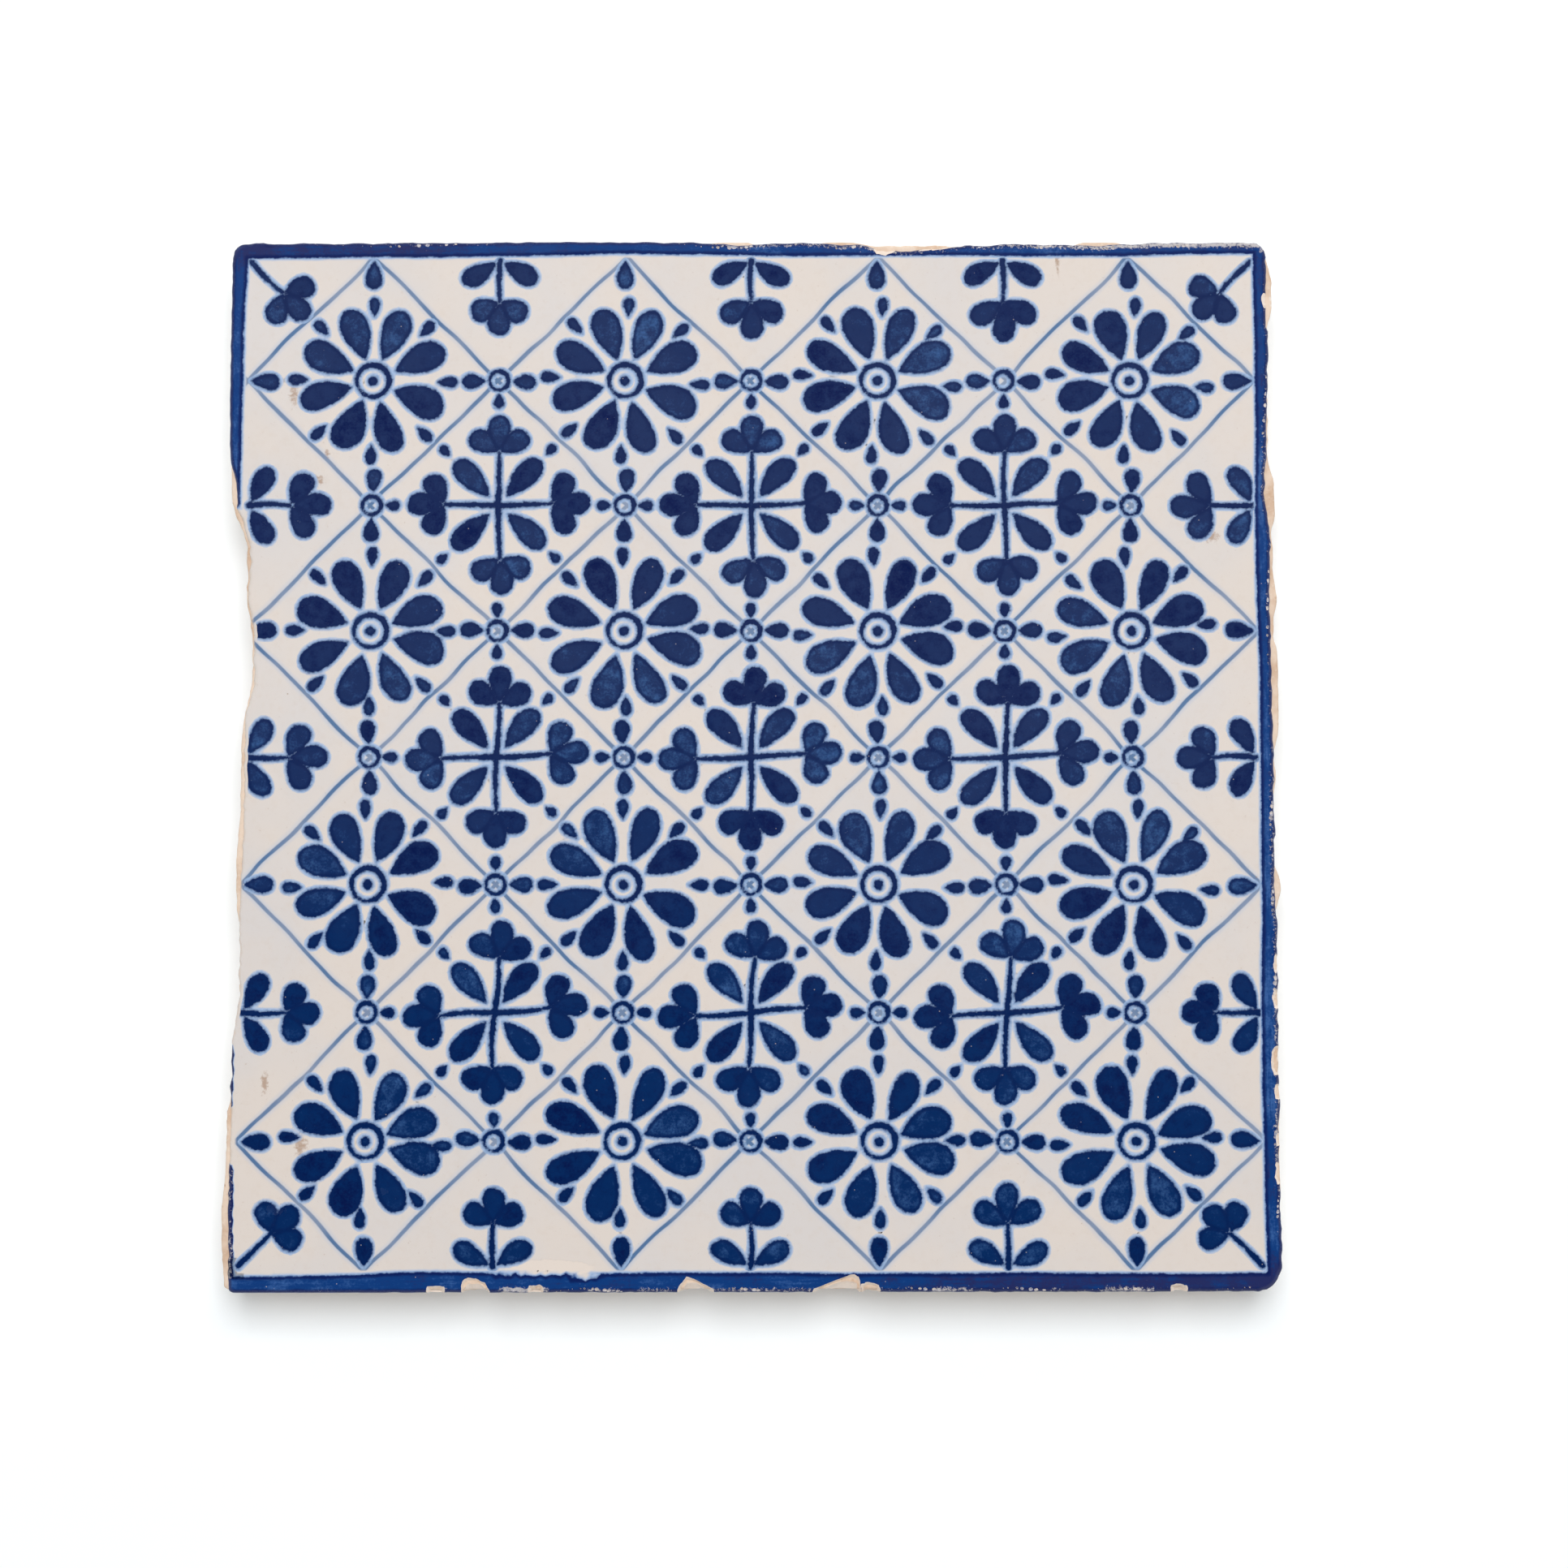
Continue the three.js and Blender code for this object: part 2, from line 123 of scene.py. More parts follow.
# The finish stays this far inside the square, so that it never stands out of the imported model
LEAST_WEAR = 0.16
# The fray of an outline: the size of its teeth, and how much of it an unworn edge has
FRAY_SIZE = 1.7
LEAST_FRAY = 0.25
CLAY_SEED = 3
GLAZE_SEED = 11
SIDE_SEED_STEP = 7.3

# The net of lines that the face is meshed on: close together along the edges, even in the middle
NEAR_LINES = (0, 0.25, 0.55, 0.9, 1.25, 1.6, 1.95, 2.3, 2.65, 3.0, 3.4, 3.9, 4.5, 5.2, 6.0)
MIDDLE_CELLS = 192
SQUEEZE = NEAR_LINES[-1]

# Sections through the sides: (height, how far it is drawn in). The clay's runs up, the coat's down.
CLAY_ROWS = [
    (0.0, 3.5), (0.0, 1.5), (0.12, 1.34), (0.5, 1.22), (1.5, 1.04), (2.8, 0.82), (4.2, 0.58), (5.4, 0.37),
    (6.3, 0.22), (7.0, 0.1), (7.5, 0.0), (7.8, 0.06), (7.94, 0.2), (CLAY_TOP, 0.45),
    (CLAY_TOP, 2.5),
]
CLAY_SIDE_ROUGHNESS = 0.07
CLAY_SIDE_GRAIN = (2.3, 1.6)
# How far inside its widest outline the coat leaves the flat of the face
FACE_INSET = 0.5
COAT_ROWS = [
    (8.43, 0.36), (8.36, 0.22), (8.26, 0.11), (8.1, 0.04), (7.8, 0.0), (7.4, 0.05), (6.95, 0.14),
    (6.5, 0.26), (6.22, 0.42), (LAP_LEVEL, 0.75),
]
# The lower rim of the coat runs down in places, and the frame's paint stops just over the arris
DRIBBLE_BELOW = 7.8
DRIBBLE_SIZE = 6
DRIBBLE_SHARE = 0.45
PAINT_ENDS_BELOW = 7.7
PAINT_FADES_OVER = 0.25
# The slow waves of the glazed face: the lengths of the long ones along x and y, then the short one
LONG_WAVES = (15, 19)
SHORT_WAVE = 10
SHORT_WAVE_SHARE = 0.6

# Chips: the side, how deep the break runs there, where it starts and ends along the side, and its
# corners on the glazed face. A corner is written as (distance along the side, distance inside the square).
CHIPS = [
    ("bottom", 1.3, -35.1, -31.6, [(-34.9, 1.55), (-34.3, 1.95), (-33.4, 1.85), (-32.6, 1.3)]),
    ("bottom", 1.4, -9.1, -4.5, [(-8.6, 0.8), (-7.6, 2.1), (-7.0, 1.85), (-6.0, 0.95), (-4.9, 0.4)]),
    ("bottom", 1.4, 7.0, 13.3, [(7.7, 0.4), (10.2, 1.5), (11.3, 2.0), (12.2, 2.4), (12.7, 2.2)]),
    ("bottom", 0.6, 13.4, 15.6, [(13.4, 1.1), (14.3, 1.45), (15.2, 1.0)]),
    ("bottom", 0.5, 50.8, 52.8, [(51.0, 0.9), (51.7, 1.25), (52.5, 1.0)]),
    ("bottom", 0.3, -39.5, -37.2, [(-39.2, 0.8), (-38.2, 0.95), (-37.4, 0.7)]),
    ("bottom", 0.35, -27.0, -25.3, [(-26.8, 0.9), (-26.0, 1.0), (-25.5, 0.7)]),
    ("top", 0.4, 14.2, 19.0, [(15.0, 1.0), (15.7, 1.95), (16.5, 2.05), (17.3, 1.7)]),
    ("top", 0.35, 19.1, 27.0, [(19.3, 1.5), (22.5, 1.25), (26.3, 0.7)]),
    ("right", 0.4, 56.2, 58.3, [(56.4, 1.5), (57.3, 1.85), (58.1, 1.6)]),
    ("right", 0.5, -26.0, -23.8, [(-25.8, 1.05), (-24.9, 1.3), (-24.0, 1.0)]),
    ("right", 0.6, -30.5, -28.0, [(-30.2, 1.2), (-29.2, 1.5), (-28.3, 1.1)]),
    ("right", 0.9, -38.6, -34.9, [(-38.3, 1.3), (-37.4, 1.7), (-36.0, 1.65), (-35.2, 1.2)]),
    ("right", 0.6, -41.5, -39.6, [(-41.3, 1.15), (-40.5, 1.4), (-39.8, 1.1)]),
    ("right", 0.5, -47.2, -45.5, [(-46.9, 1.15), (-46.2, 1.3), (-45.7, 1.0)]),
    ("right", 0.5, -51.9, -48.9, [(-51.6, 1.1), (-50.4, 1.4), (-49.2, 1.2)]),
]
# How far a cutter reaches past the tile, above it and at its side
OVERSHOOT = 0.3
# The foot of a chip: its length as a share of the chip's, its distance inside the square and its depth
CHIP_FEET = ((0.8, -OVERSHOOT, 1.0), (0.5, 0.35, 0.8))
CHIP_CUTS = 4
CHIP_ROUGHNESS = {"amount": 0.11, "size": 0.7}
CHIP_SEED_STEP = 3.7
# How much wider than in the clay a chip is in the glaze
CHIP_RIM = 0.28
# Paint is cut back a little further than the glaze under it, so that no two broken faces coincide
BURIED = 0.02
# A loose bit with fewer points than this is a crumb of a cut, and goes
CRUMB_POINTS = 60

# Stretches of small nicks: the side, where the stretch starts and ends, the number and the mean width
NICKS = [
    ("right", -56, -42, 22, 0.42),
    ("right", -34, -2, 46, 0.42),
    ("right", 4, 55, 30, 0.36),
    ("top", -55, -34, 12, 0.4),
    ("top", -14, 13, 26, 0.42),
    ("top", 28, 62, 58, 0.45),
    ("bottom", -30, -11, 26, 0.34),
    ("bottom", -4, 6.5, 14, 0.36),
    ("bottom", 16.5, 50, 40, 0.34),
    ("bottom", 53, 61, 8, 0.36),
]
NICK_ROUGHNESS = {"amount": 0.3, "size": 0.8}
NICK_SEED_STEP = 2.3
NICK_SINK = 0.03

# The painted frame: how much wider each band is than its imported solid, and where the left one stops
BAND_EXTRA = {
    "bottom": [(-64, -0.6), (-52, -0.5), (-42, -0.14), (0, -0.2), (62, -0.2)],
    "right": [(-62, 0.18), (-45, 0.3), (-30, 0.5), (-20, 0.25), (-10, 0.16), (10, 0.2), (26, 0.46),
              (40, 0.35), (62, 0.34)],
    "top": [(-62, 0.25), (-45, 0.1), (-30, -0.1), (-15, -0.3), (10, -0.1), (45, -0.1), (60, -0.35)],
    "left": [(31, -0.42), (35, -0.4), (38, -0.25), (45, -0.25), (55, -0.2), (62, 0.1)],
}
LEFT_BAND_END = 31.3
TOP_BAND_BREAK = 16
# The thin line of paint that is left along the worn lower left edge, as (height, width)
REMNANT = [(-63, 0.66), (-57, 0.6), (-53, 0.66), (-50.4, 0.55), (-49.4, 0.4), (-48.6, -0.7), (-43.2, -0.7),
           (-42.4, 0.2), (-39, 0.34), (-36, 0.3), (-34.8, 0.18), (-33.8, -1)]
REMNANT_REACH = 3.4
# How much faster than a motif's the paint of the thin line, and the bleed of a band, fades outwards
REMNANT_CRISPNESS = 2.5
BAND_BLEED = 1.8
# Places where a flake of paint is missing: x, y, half length and half height
FLAKES = [(-24.6, -61.8, 5.0, 0.9), (-20.4, -62.4, 1.6, 0.7), (-30.2, -62.2, 1.3, 0.4)]
# The faint tint that is left in a flake, as a depth outside the paint
FLAKE_FLOOR = -0.4
# How heavily the frame is painted along each side, from 0 (thin and pale) to 1 (thick and dark)
BAND_LOAD = {
    "bottom": [(-62, 0.42), (-45, 0.4), (-20, 0.5), (8, 0.5), (18, 0.6), (24, 0.85), (45, 0.9),
               (62, 1.1)],
    "right": [(-62, 0.9), (-59, 0.3), (-56, 0.3), (-53, 0.6), (-47, 0.6), (-44, 0.4), (-40, 0.2),
              (-33, 0.25), (-10, 0.33), (20, 0.42), (28, 0.45), (31, 0.12), (38, 0.2), (43, 0.6),
              (62, 0.6)],
    "top": [(-62, 0.85), (-38, 0.75), (-25, 0.6), (0, 0.45), (15, 0.5), (40, 0.4), (62, 0.7)],
    "left": [(-62, 1.0), (30, 1.0), (32, 0.35), (45, 0.3), (55, 0.4), (62, 0.8)],
}
# How strongly the frame's outer edge is flecked pale along each side, from 0 to 1
BAND_FLECKS = {
    "bottom": [(-62, 0.1), (-53, 0.1), (-52, 0.5), (-51, 0.15), (-40, 0.15), (-39, 0.8), (-37.4, 0.8),
               (-37, 0.2), (-31, 0.25), (-30, 1), (-25.2, 0.9), (-24, 0.15), (-20.5, 0.15), (-20, 0.65),
               (-16, 0.6), (-15.5, 0.2), (-14, 0.2), (-13.6, 0.65), (-11, 0.6), (-9, 0.3), (-4, 0.6),
               (7, 0.55), (16, 0.4), (21.8, 0.3), (22.3, 0.8), (26.6, 0.7), (27, 0.25), (36, 0.2),
               (37, 0.7), (38, 0.2), (42, 0.3), (43, 0.75), (48.6, 0.7), (49, 0.3), (56, 0.3),
               (62, 0.1)],
    "right": [(-62, 0.1), (-56, 0.2), (-50, 0.6), (-5, 0.5), (5, 0.35), (30, 0.35), (36, 0.5),
              (62, 0.3)],
    "top": [(-62, 0.05), (-50, 0.1), (-44, 0.4), (-33, 0.35), (-30, 0.05), (-8, 0.1), (-3, 0.6),
            (14, 0.6), (18, 0.5), (27, 0.5), (32, 0.6), (40, 0.75), (48, 0.95), (62, 1)],
    "left": [(-62, 0.65), (-58.5, 0.65), (-57, 0.45), (-51, 0.5), (-33, 0.35), (32, 0.1), (62, 0.05)],
}
# Old stains in the glaze: x, y and the reach of each along x and y
STAINS = [
    (-56.9, 45.8, 1.0, 2.9), (-53.9, 34.7, 1.5, 1.0), (-59.4, -39.6, 0.8, 2.2), (-54.8, -47.3, 1.1, 2.6),
    (-57.9, -54.9, 1.9, 1.0), (56.7, 27.7, 1.4, 1.2), (-52.6, 38.0, 0.5, 0.9), (-44.8, -52.6, 0.8, 0.6),
    (37.9, 62.6, 0.4, 2.8),
]

# Brush strokes of the motifs
ROSETTE = {"petals": 8, "start": 2.9, "length": 6.75, "width": 3.6}
ROSETTE_RING = {"radius": 2.0, "line": 0.62}
ROSETTE_EYE = 0.62
ROSETTE_TOUCH = {"start": 8.0, "length": 2.5, "width": 1.35}
KNOT_RING = {"radius": 1.15, "line": 0.5}
KNOT_DAB = {"start": 1.6, "length": 3.0, "width": 1.9}
FRAME_DAB = {"start": 0.5, "length": 3.6, "width": 2.1}
CROSS = {"stem": 6.6, "line": 0.62}
CROSS_DAB = {"start": 1.5, "length": 6.2, "width": 2.95}
CROSS_TOUCH = {"start": 8.6, "length": 1.7, "width": 1.2}
CROSS_KNOT_DAB = {"start": 1.6, "length": 1.9, "width": 1.3}
TREFOIL = {"length": 4.6, "width": 2.85, "spread": 1.02, "side_length": 0.9, "start": 0.15}
SPRIG = {"root": 0.5, "stem": 5.6, "dab_start": 0.5, "dab_length": 4.9, "dab_width": 2.6, "dab_spread": 1.05}
CORNER_SPRIG = {"root": 0.9, "stem": 6.4}
# How much the hand varies the turn, the size and the length of a stroke, and how far it bends each kind
HAND_TURN = 0.09
HAND_SIZE = 0.09
HAND_LENGTH = 0.6 * HAND_SIZE
BENDS = {"petal": 0.3, "cross stem": 0.22, "cross dab": 0.25, "trefoil": 0.2, "sprig": 0.2}
# A line is wide where the brush sets down and loses width on its way. A ring swells towards one side.
LINE_START = 1.25
LINE_LOSS = 0.45
RING_SWELL = 0.25
RING_TURN = 0.7
# A dab: the points of its upper edge, how it swells and tapers, and how far from it its depth is worked out
DAB_POINTS = 12
DAB_SWELL = 0.92
DAB_TAPER = 0.5
DAB_REACH = 3
FAR_OFF = 20.0
# How heavily a motif's strokes are painted, and by how much they differ
MOTIF_LOAD = (0.56, 0.22)
# How far the motifs stay clear of the frame, and how far the walls of their pieces lean
FRAME_GAP = 0.12
WALL_LEAN = 0.06
# The room that the net of a motif leaves round its paint, and the step that its slopes are read over
NET_MARGIN = 1
SLOPE_STEP = 0.02
# The map of a painted piece: the margin and width of its face, and the corner that takes its other sides
MAP_FACE = (0.01, 0.94)
MAP_CORNER = (0.96, 0.03)
FACES_UP = 0.3
FACES_DOWN = -0.7

# Angles past which an edge shows as sharp
CLAY_SHARP = 35
GLAZE_SHARP = 40
BRUSH_SHARP = 60

# The trellis wanders by up to half of each drift to either side
TRELLIS_DRIFT = 1.5
TRELLIS_SHAKE = 0.05
FAR_FROM_RIM = 5.0

# The stage, in metres
FLOOR_REACH = 3
FLOOR_COLOUR = (249, 253, 255)
# The floor's glow, which only the camera sees: its colour, the distances in millimetres over which it
# rises, and its strength at the first and the last of them
GLOW_COLOUR = (224, 244, 255)
GLOW_RISE = (150, 700, 0.06, 1)
# The sky dims overhead: the heights between which it does, as sines, and its share of the light at each
SKY_HEIGHTS = (0.65, 0.93)
SKY_SHARES = (1.5, 0.07)
LAMP_SIZE = 0.74
LAMP_PLACE = Vector((0.04, 0.41, 1.13))
NEAREST_SEEN = 0.01


def srgb(red, green, blue):
    """A colour written as 0 to 255, as the linear numbers that shaders work in."""
    shares = (value / 255 for value in (red, green, blue))
    return tuple(s / 12.92 if s <= 0.04045 else ((s + 0.055) / 1.055) ** 2.4 for s in shares)


def length_property(name, description, value):
    return bpy.props.FloatProperty(
        name=name, description=description, default=value * MM, min=0, precision=5, unit="LENGTH"
    )


def colour_property(name, description, *value):
    return bpy.props.FloatVectorProperty(
        name=name, description=description, default=srgb(*value), min=0, max=1, subtype="COLOR"
    )


class TileSizes(bpy.types.PropertyGroup):
    """Sizes of the finish that a user may change."""

    halo: length_property("Halo", "How far the cobalt bleeds into the white glaze", 0.75)
    paint_lift: length_property("Paint lift", "How far a thick stroke stands above the glaze", 0.035)
    paint_sink: length_property("Paint sink", "How deep the edge of a bleed lies in the glaze", 0.012)
    paint_body: length_property("Paint body", "Thickness of a painted piece", 0.07)
    brush_step: length_property("Brush step", "Size of the faces of the painted motifs", 0.22)
    undulation: length_property("Undulation", "Depth of the slow waves of the glazed face", 0.13)
    clay_fray: length_property("Clay fray", "Roughness of the clay's rim", 0.16)
    glaze_fray: length_property("Glaze fray", "Roughness of the coat's rim where it has worn", 0.2)


class TileColours(bpy.types.PropertyGroup):
    """Colours of the layers that a user may change."""

    glaze: colour_property("Glaze", "The ivory white of the tin glaze", 222, 212, 204)
    glaze_cool: colour_property("Cool glaze", "The glaze where it lies thicker", 216, 210, 207)
    glaze_edge: colour_property("Glaze edge", "The glaze where it thins over the arris", 208, 190, 174)
    glaze_fresh: colour_property("Fresh glaze", "Glaze that a flake has laid bare", 228, 216, 206)
    cobalt: colour_property("Cobalt", "The body of a cobalt stroke near the bottom", 3, 40, 92)
    cobalt_grey: colour_property("Grey cobalt", "The body of a cobalt stroke near the top", 26, 45, 90)
    cobalt_deep: colour_property("Deep cobalt", "Cobalt where it pools and lies thick", 2, 20, 72)
    cobalt_thin: colour_property("Thin cobalt", "Cobalt where the brush ran dry", 54, 92, 146)
    band: colour_property("Frame", "The body of the painted frame", 14, 58, 122)
    band_deep: colour_property("Deep frame", "The frame where it was fired darkest", 36, 44, 94)
    band_edge: colour_property("Frame edge", "The line where a band of the frame pools", 8, 26, 84)
    band_thin: colour_property("Thin frame", "The frame where the brush ran dry", 58, 98, 158)
    trellis: colour_property("Trellis", "The thin blue lines of the trellis", 72, 109, 152)
    halo: colour_property("Bleed", "The pale blue that the cobalt bleeds into the glaze", 158, 184, 219)
    stain: colour_property("Stain", "Old dirt in pits and flaws of the glaze", 160, 124, 96)
    biscuit: colour_property("Biscuit", "The outside of the fired clay", 234, 212, 192)
    biscuit_dark: colour_property("Dark biscuit", "Toasted and dirty patches of the clay", 200, 162, 130)
    fracture: colour_property("Fracture", "Freshly broken clay and glaze", 240, 226, 214)


class TileStage(bpy.types.PropertyGroup):
    """The camera and the lamps."""

    camera_place: bpy.props.FloatVectorProperty(
        name="Camera", description="Where the camera stands", default=(0.0038894, -0.0339872, 0.3929168),
        subtype="TRANSLATION", unit="LENGTH",
    )
    camera_tilt: bpy.props.FloatProperty(
        name="Tilt", description="How far the camera leans from straight down", default=0.08048,
        subtype="ANGLE",
    )
    camera_field: bpy.props.FloatProperty(
        name="Field of view", description="The angle that the camera sees", default=math.radians(28),
        subtype="ANGLE",
    )
    sky: bpy.props.FloatProperty(
        name="Sky", description="Brightness of the even light from all round", default=0.41, min=0
    )
    lamp: bpy.props.FloatProperty(
        name="Lamp", description="Power of the soft lamp over the top edge", default=11.4, min=0, unit="POWER"
    )


def in_mm(length):
    return length / MM


def hand_of(a, b, c=0):
    """A small repeatable difference between one brush stroke and the next, from -1 to 1."""
    return math.sin(12.9898 * a + 78.233 * b + 37.719 * c)


def about(middle, spread, *seeds):
    """A number near the middle one, a little different for each stroke or nick."""
    return middle + spread * hand_of(*seeds)


def rough_at(x, y, z):
    """Fractal noise, about -1 to 1, at a place measured in feature sizes."""
    roughness, finer, octaves = 0.9, 2.1, 3
    return noise.fractal(Vector((x, y, z)), roughness, finer, octaves)


def waves_at(x, y, depth):
    """How far the glazed face lies below its highest level, at places given in millimetres."""
    wave = np.sin(x / LONG_WAVES[0] + 1.1) * np.cos(y / LONG_WAVES[1] - 0.4)
    wave += SHORT_WAVE_SHARE * np.sin((x + y) / SHORT_WAVE + 0.5)
    return -depth * (0.5 + wave / (2 * (1 + SHORT_WAVE_SHARE)))


def eased(value, low, high):
    """Rises smoothly from 0 to 1 as the value goes from low to high."""
    share = np.clip((value - low) / (high - low), 0, 1)
    return share * share * (3 - 2 * share)


def along_table(table, along):
    places, values = zip(*table)
    return np.interp(along, places, values)


# Lines of the net, from one edge of the square to the other
NET = np.concatenate([
    np.array(NEAR_LINES[:-1]) - HALF,
    np.linspace(SQUEEZE - HALF, HALF - SQUEEZE, MIDDLE_CELLS + 1),
    HALF - np.array(NEAR_LINES[:-1])[::-1],
])
CELLS = len(NET) - 1


class WornSquare:
    """The outline of a layer at its widest, and the net of lines that fills it."""

    def __init__(self, wear, fray, seed):
        self.inside = {}
        for number, side in enumerate(SIDES):
            worn = sum(along_table(wear[side], NET + shift) for shift in WEAR_SPREAD) / len(WEAR_SPREAD)
            rough = np.array([rough_at(a / FRAY_SIZE, seed, SIDE_SEED_STEP * number) for a in NET])
            frayed = worn + fray * (LEAST_FRAY + np.minimum(worn, 1)) * rough
            self.inside[side] = np.clip(frayed, LEAST_WEAR, None)

    def place(self, column, row):
        """The places, in millimetres, where columns and rows of the net cross."""
        x, inside_x = self.squeezed(column, self.inside["left"][row], self.inside["right"][row])
        y, inside_y = self.squeezed(row, self.inside["bottom"][column], self.inside["top"][column])
        radius = np.zeros(len(x))
        for (sign_x, sign_y), size in CORNER_RADII.items():
            radius[(NET[column] * sign_x >= 0) & (NET[row] * sign_y >= 0)] = size
        near_x = 1 - x / radius
        near_y = 1 - y / radius
        corner = (near_x > 0) & (near_y > 0)
        round_x = near_x * np.sqrt(np.clip(1 - near_y ** 2 / 2, 0, 1))
        round_y = near_y * np.sqrt(np.clip(1 - near_x ** 2 / 2, 0, 1))
        x = np.where(corner, radius * (1 - round_x), x) + inside_x
        y = np.where(corner, radius * (1 - round_y), y) + inside_y
        return (HALF - x) * np.sign(NET[column]), (HALF - y) * np.sign(NET[row])

    @staticmethod
    def squeezed(line, inside_low, inside_high):
        """How far a line lies from the worn edge that it is nearer to, and the wear of that edge."""
        inside = np.where(NET[line] < 0, inside_low, inside_high)
        away = HALF - np.abs(NET[line])
        return np.where(away < SQUEEZE, away * (1 - inside / SQUEEZE), away - inside), inside

    def rim(self, x, y):
        """How far places lie from the worn outline, positive inside it. Corners count as square."""
        return np.minimum.reduce([
            HALF + x - np.interp(y, NET, self.inside["left"]),
            HALF - x - np.interp(y, NET, self.inside["right"]),
            HALF + y - np.interp(x, NET, self.inside["bottom"]),
            HALF - y - np.interp(x, NET, self.inside["top"]),
        ])


def perimeter():
    """Columns and rows of the net's outermost crossings, counter-clockwise."""
    up = np.arange(CELLS)
    down = CELLS - up
    start, end = np.zeros_like(up), np.full_like(up, CELLS)
    return np.concatenate([up, end, down, start]), np.concatenate([start, up, end, down])


def places_of(bm):
    return np.array([vertex.co for vertex in bm.verts]) / MM


def move_to(bm, x, y, z):
    for vertex, place in zip(bm.verts, np.stack([x, y, z], 1) * MM):
        vertex.co = place


def drawn_in(x, y, inset):
    """An outline scaled towards the middle, so that its sides move in by the inset."""
    share = 1 - inset / HALF
    return x * share, y * share


def add_rows(bm, edges, station, rows, place_row):
    """Extrudes an open rim row by row. Each new point keeps its station round the outline."""
    for row in rows:
        grown = bmesh.ops.extrude_edge_only(bm, edges=edges)["geom"]
        edges = [item for item in grown if isinstance(item, BMEdge)]
        for vertex in (item for item in grown if isinstance(item, BMVert)):
            vertex.co = Vector(place_row(row, vertex[station])) * MM
    return edges


def drop_pinches(bm):
    """Removes points where a net only touches itself, so that its rim is one clean line."""
    pinched = [0]
    while pinched:
        pinched = [v for v in bm.verts if not v.link_faces or sum(e.is_boundary for e in v.link_edges) > 2]
        bmesh.ops.delete(bm, geom=pinched, context="VERTS")


def closed(bm):
    """Fills what is still open, and turns all faces out."""
    bmesh.ops.holes_fill(bm, edges=[e for e in bm.edges if e.is_boundary], sides=0)
    bmesh.ops.recalc_face_normals(bm, faces=bm.faces)
    return bm


def put_in_order(bm):
    """Sorts points and faces by place, since some operators leave them in another order on each run."""
    centres = np.array([face.calc_center_median() for face in bm.faces])
    for items, places in ((bm.verts, places_of(bm)), (bm.faces, centres)):
        ranks = np.argsort(np.lexsort(places.T)).tolist()
        items.index_update()
        items.sort(key=lambda item: ranks[item.index])


def new_object(name, bm, *materials):
    put_in_order(bm)
    mesh = bpy.data.meshes.new(name)
    bm.to_mesh(mesh)
    bm.free()
    for material in materials:
        mesh.materials.append(material)
    piece = bpy.data.objects.new(name, mesh)
    bpy.context.scene.collection.objects.link(piece)
    return piece


def cut_away(piece, cutter):
    """Takes the space of another object out of a piece, and removes that object."""
    cut = piece.modifiers.new("cut", "BOOLEAN")
    cut.operation = "DIFFERENCE"
    cut.solver = "MANIFOLD"
    cut.material_mode = "TRANSFER"
    cut.object = cutter
    whole = piece.data
    cut_mesh = bpy.data.meshes.new_from_object(piece.evaluated_get(bpy.context.evaluated_depsgraph_get()))
    if not len(cut_mesh.polygons):
        raise RuntimeError(f"nothing is left of {piece.name} after a cut")
    piece.modifiers.remove(cut)
    cut_mesh.name = whole.name
    piece.data = cut_mesh
    bpy.data.meshes.remove(whole)
    bpy.data.objects.remove(cutter)


def drop_crumbs(mesh):
    """Removes the loose bits that a cut left behind."""
    bm = bmesh.new()
    bm.from_mesh(mesh)
    left = set(bm.verts)
    crumbs = []
    while left:
        island = set()
        reached = {left.pop()}
        while reached:
            island |= reached
            reached = {edge.other_vert(vertex) for vertex in reached for edge in vertex.link_edges} - island
        left -= island
        if len(island) < CRUMB_POINTS:
            crumbs += island
    bmesh.ops.delete(bm, geom=crumbs, context="VERTS")
    bm.to_mesh(mesh)
    bm.free()


def set_values(mesh, name, values):
    """Stores one number for each vertex, for a material to read."""
    layer = mesh.attributes.new(name, "FLOAT", "POINT")
    layer.data.foreach_set("value", np.asarray(values, np.float32))


def mesh_places(mesh):
    flat = np.empty(len(mesh.vertices) * 3, np.float32)
    mesh.vertices.foreach_get("co", flat)
    return (flat.reshape(-1, 3) / MM).T


def shade(mesh, sharp_angle):
    mesh.shade_smooth()
    mesh.set_sharp_from_angle(angle=math.radians(sharp_angle))


def finish_piece(piece, slot, *nodes):
    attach(piece, "root")
    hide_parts(*nodes)


def clay_block(sizes):
    """The biscuit before it was chipped: sides cut back to the bare back, and a softened arris."""
    outline = WornSquare(CLAY_WEAR, in_mm(sizes.clay_fray), CLAY_SEED)
    grain, grain_up = CLAY_SIDE_GRAIN
    x, y = outline.place(*perimeter())
    bm = bmesh.new()
    station = bm.verts.layers.int.new("station")
    made = bmesh.ops.create_circle(bm, segments=len(x), radius=1, cap_ends=True)

    def place_row(row, number):
        height, inset = row
        rough = CLAY_SIDE_ROUGHNESS * rough_at(x[number] / grain, y[number] / grain, height / grain_up)
        across, up = drawn_in(x[number], y[number], inset + abs(rough) * (0 < height < CLAY_TOP))
        return across, up, height

    for number, vertex in enumerate(made["verts"]):
        vertex[station] = number
        vertex.co = Vector(place_row(CLAY_ROWS[0], number)) * MM
    edges = [e for e in bm.edges if e.is_boundary]
    add_rows(bm, edges, station, CLAY_ROWS[1:], place_row)
    return closed(bm)


def coat_outline(sizes):
    return WornSquare(GLAZE_WEAR, in_mm(sizes.glaze_fray), GLAZE_SEED)


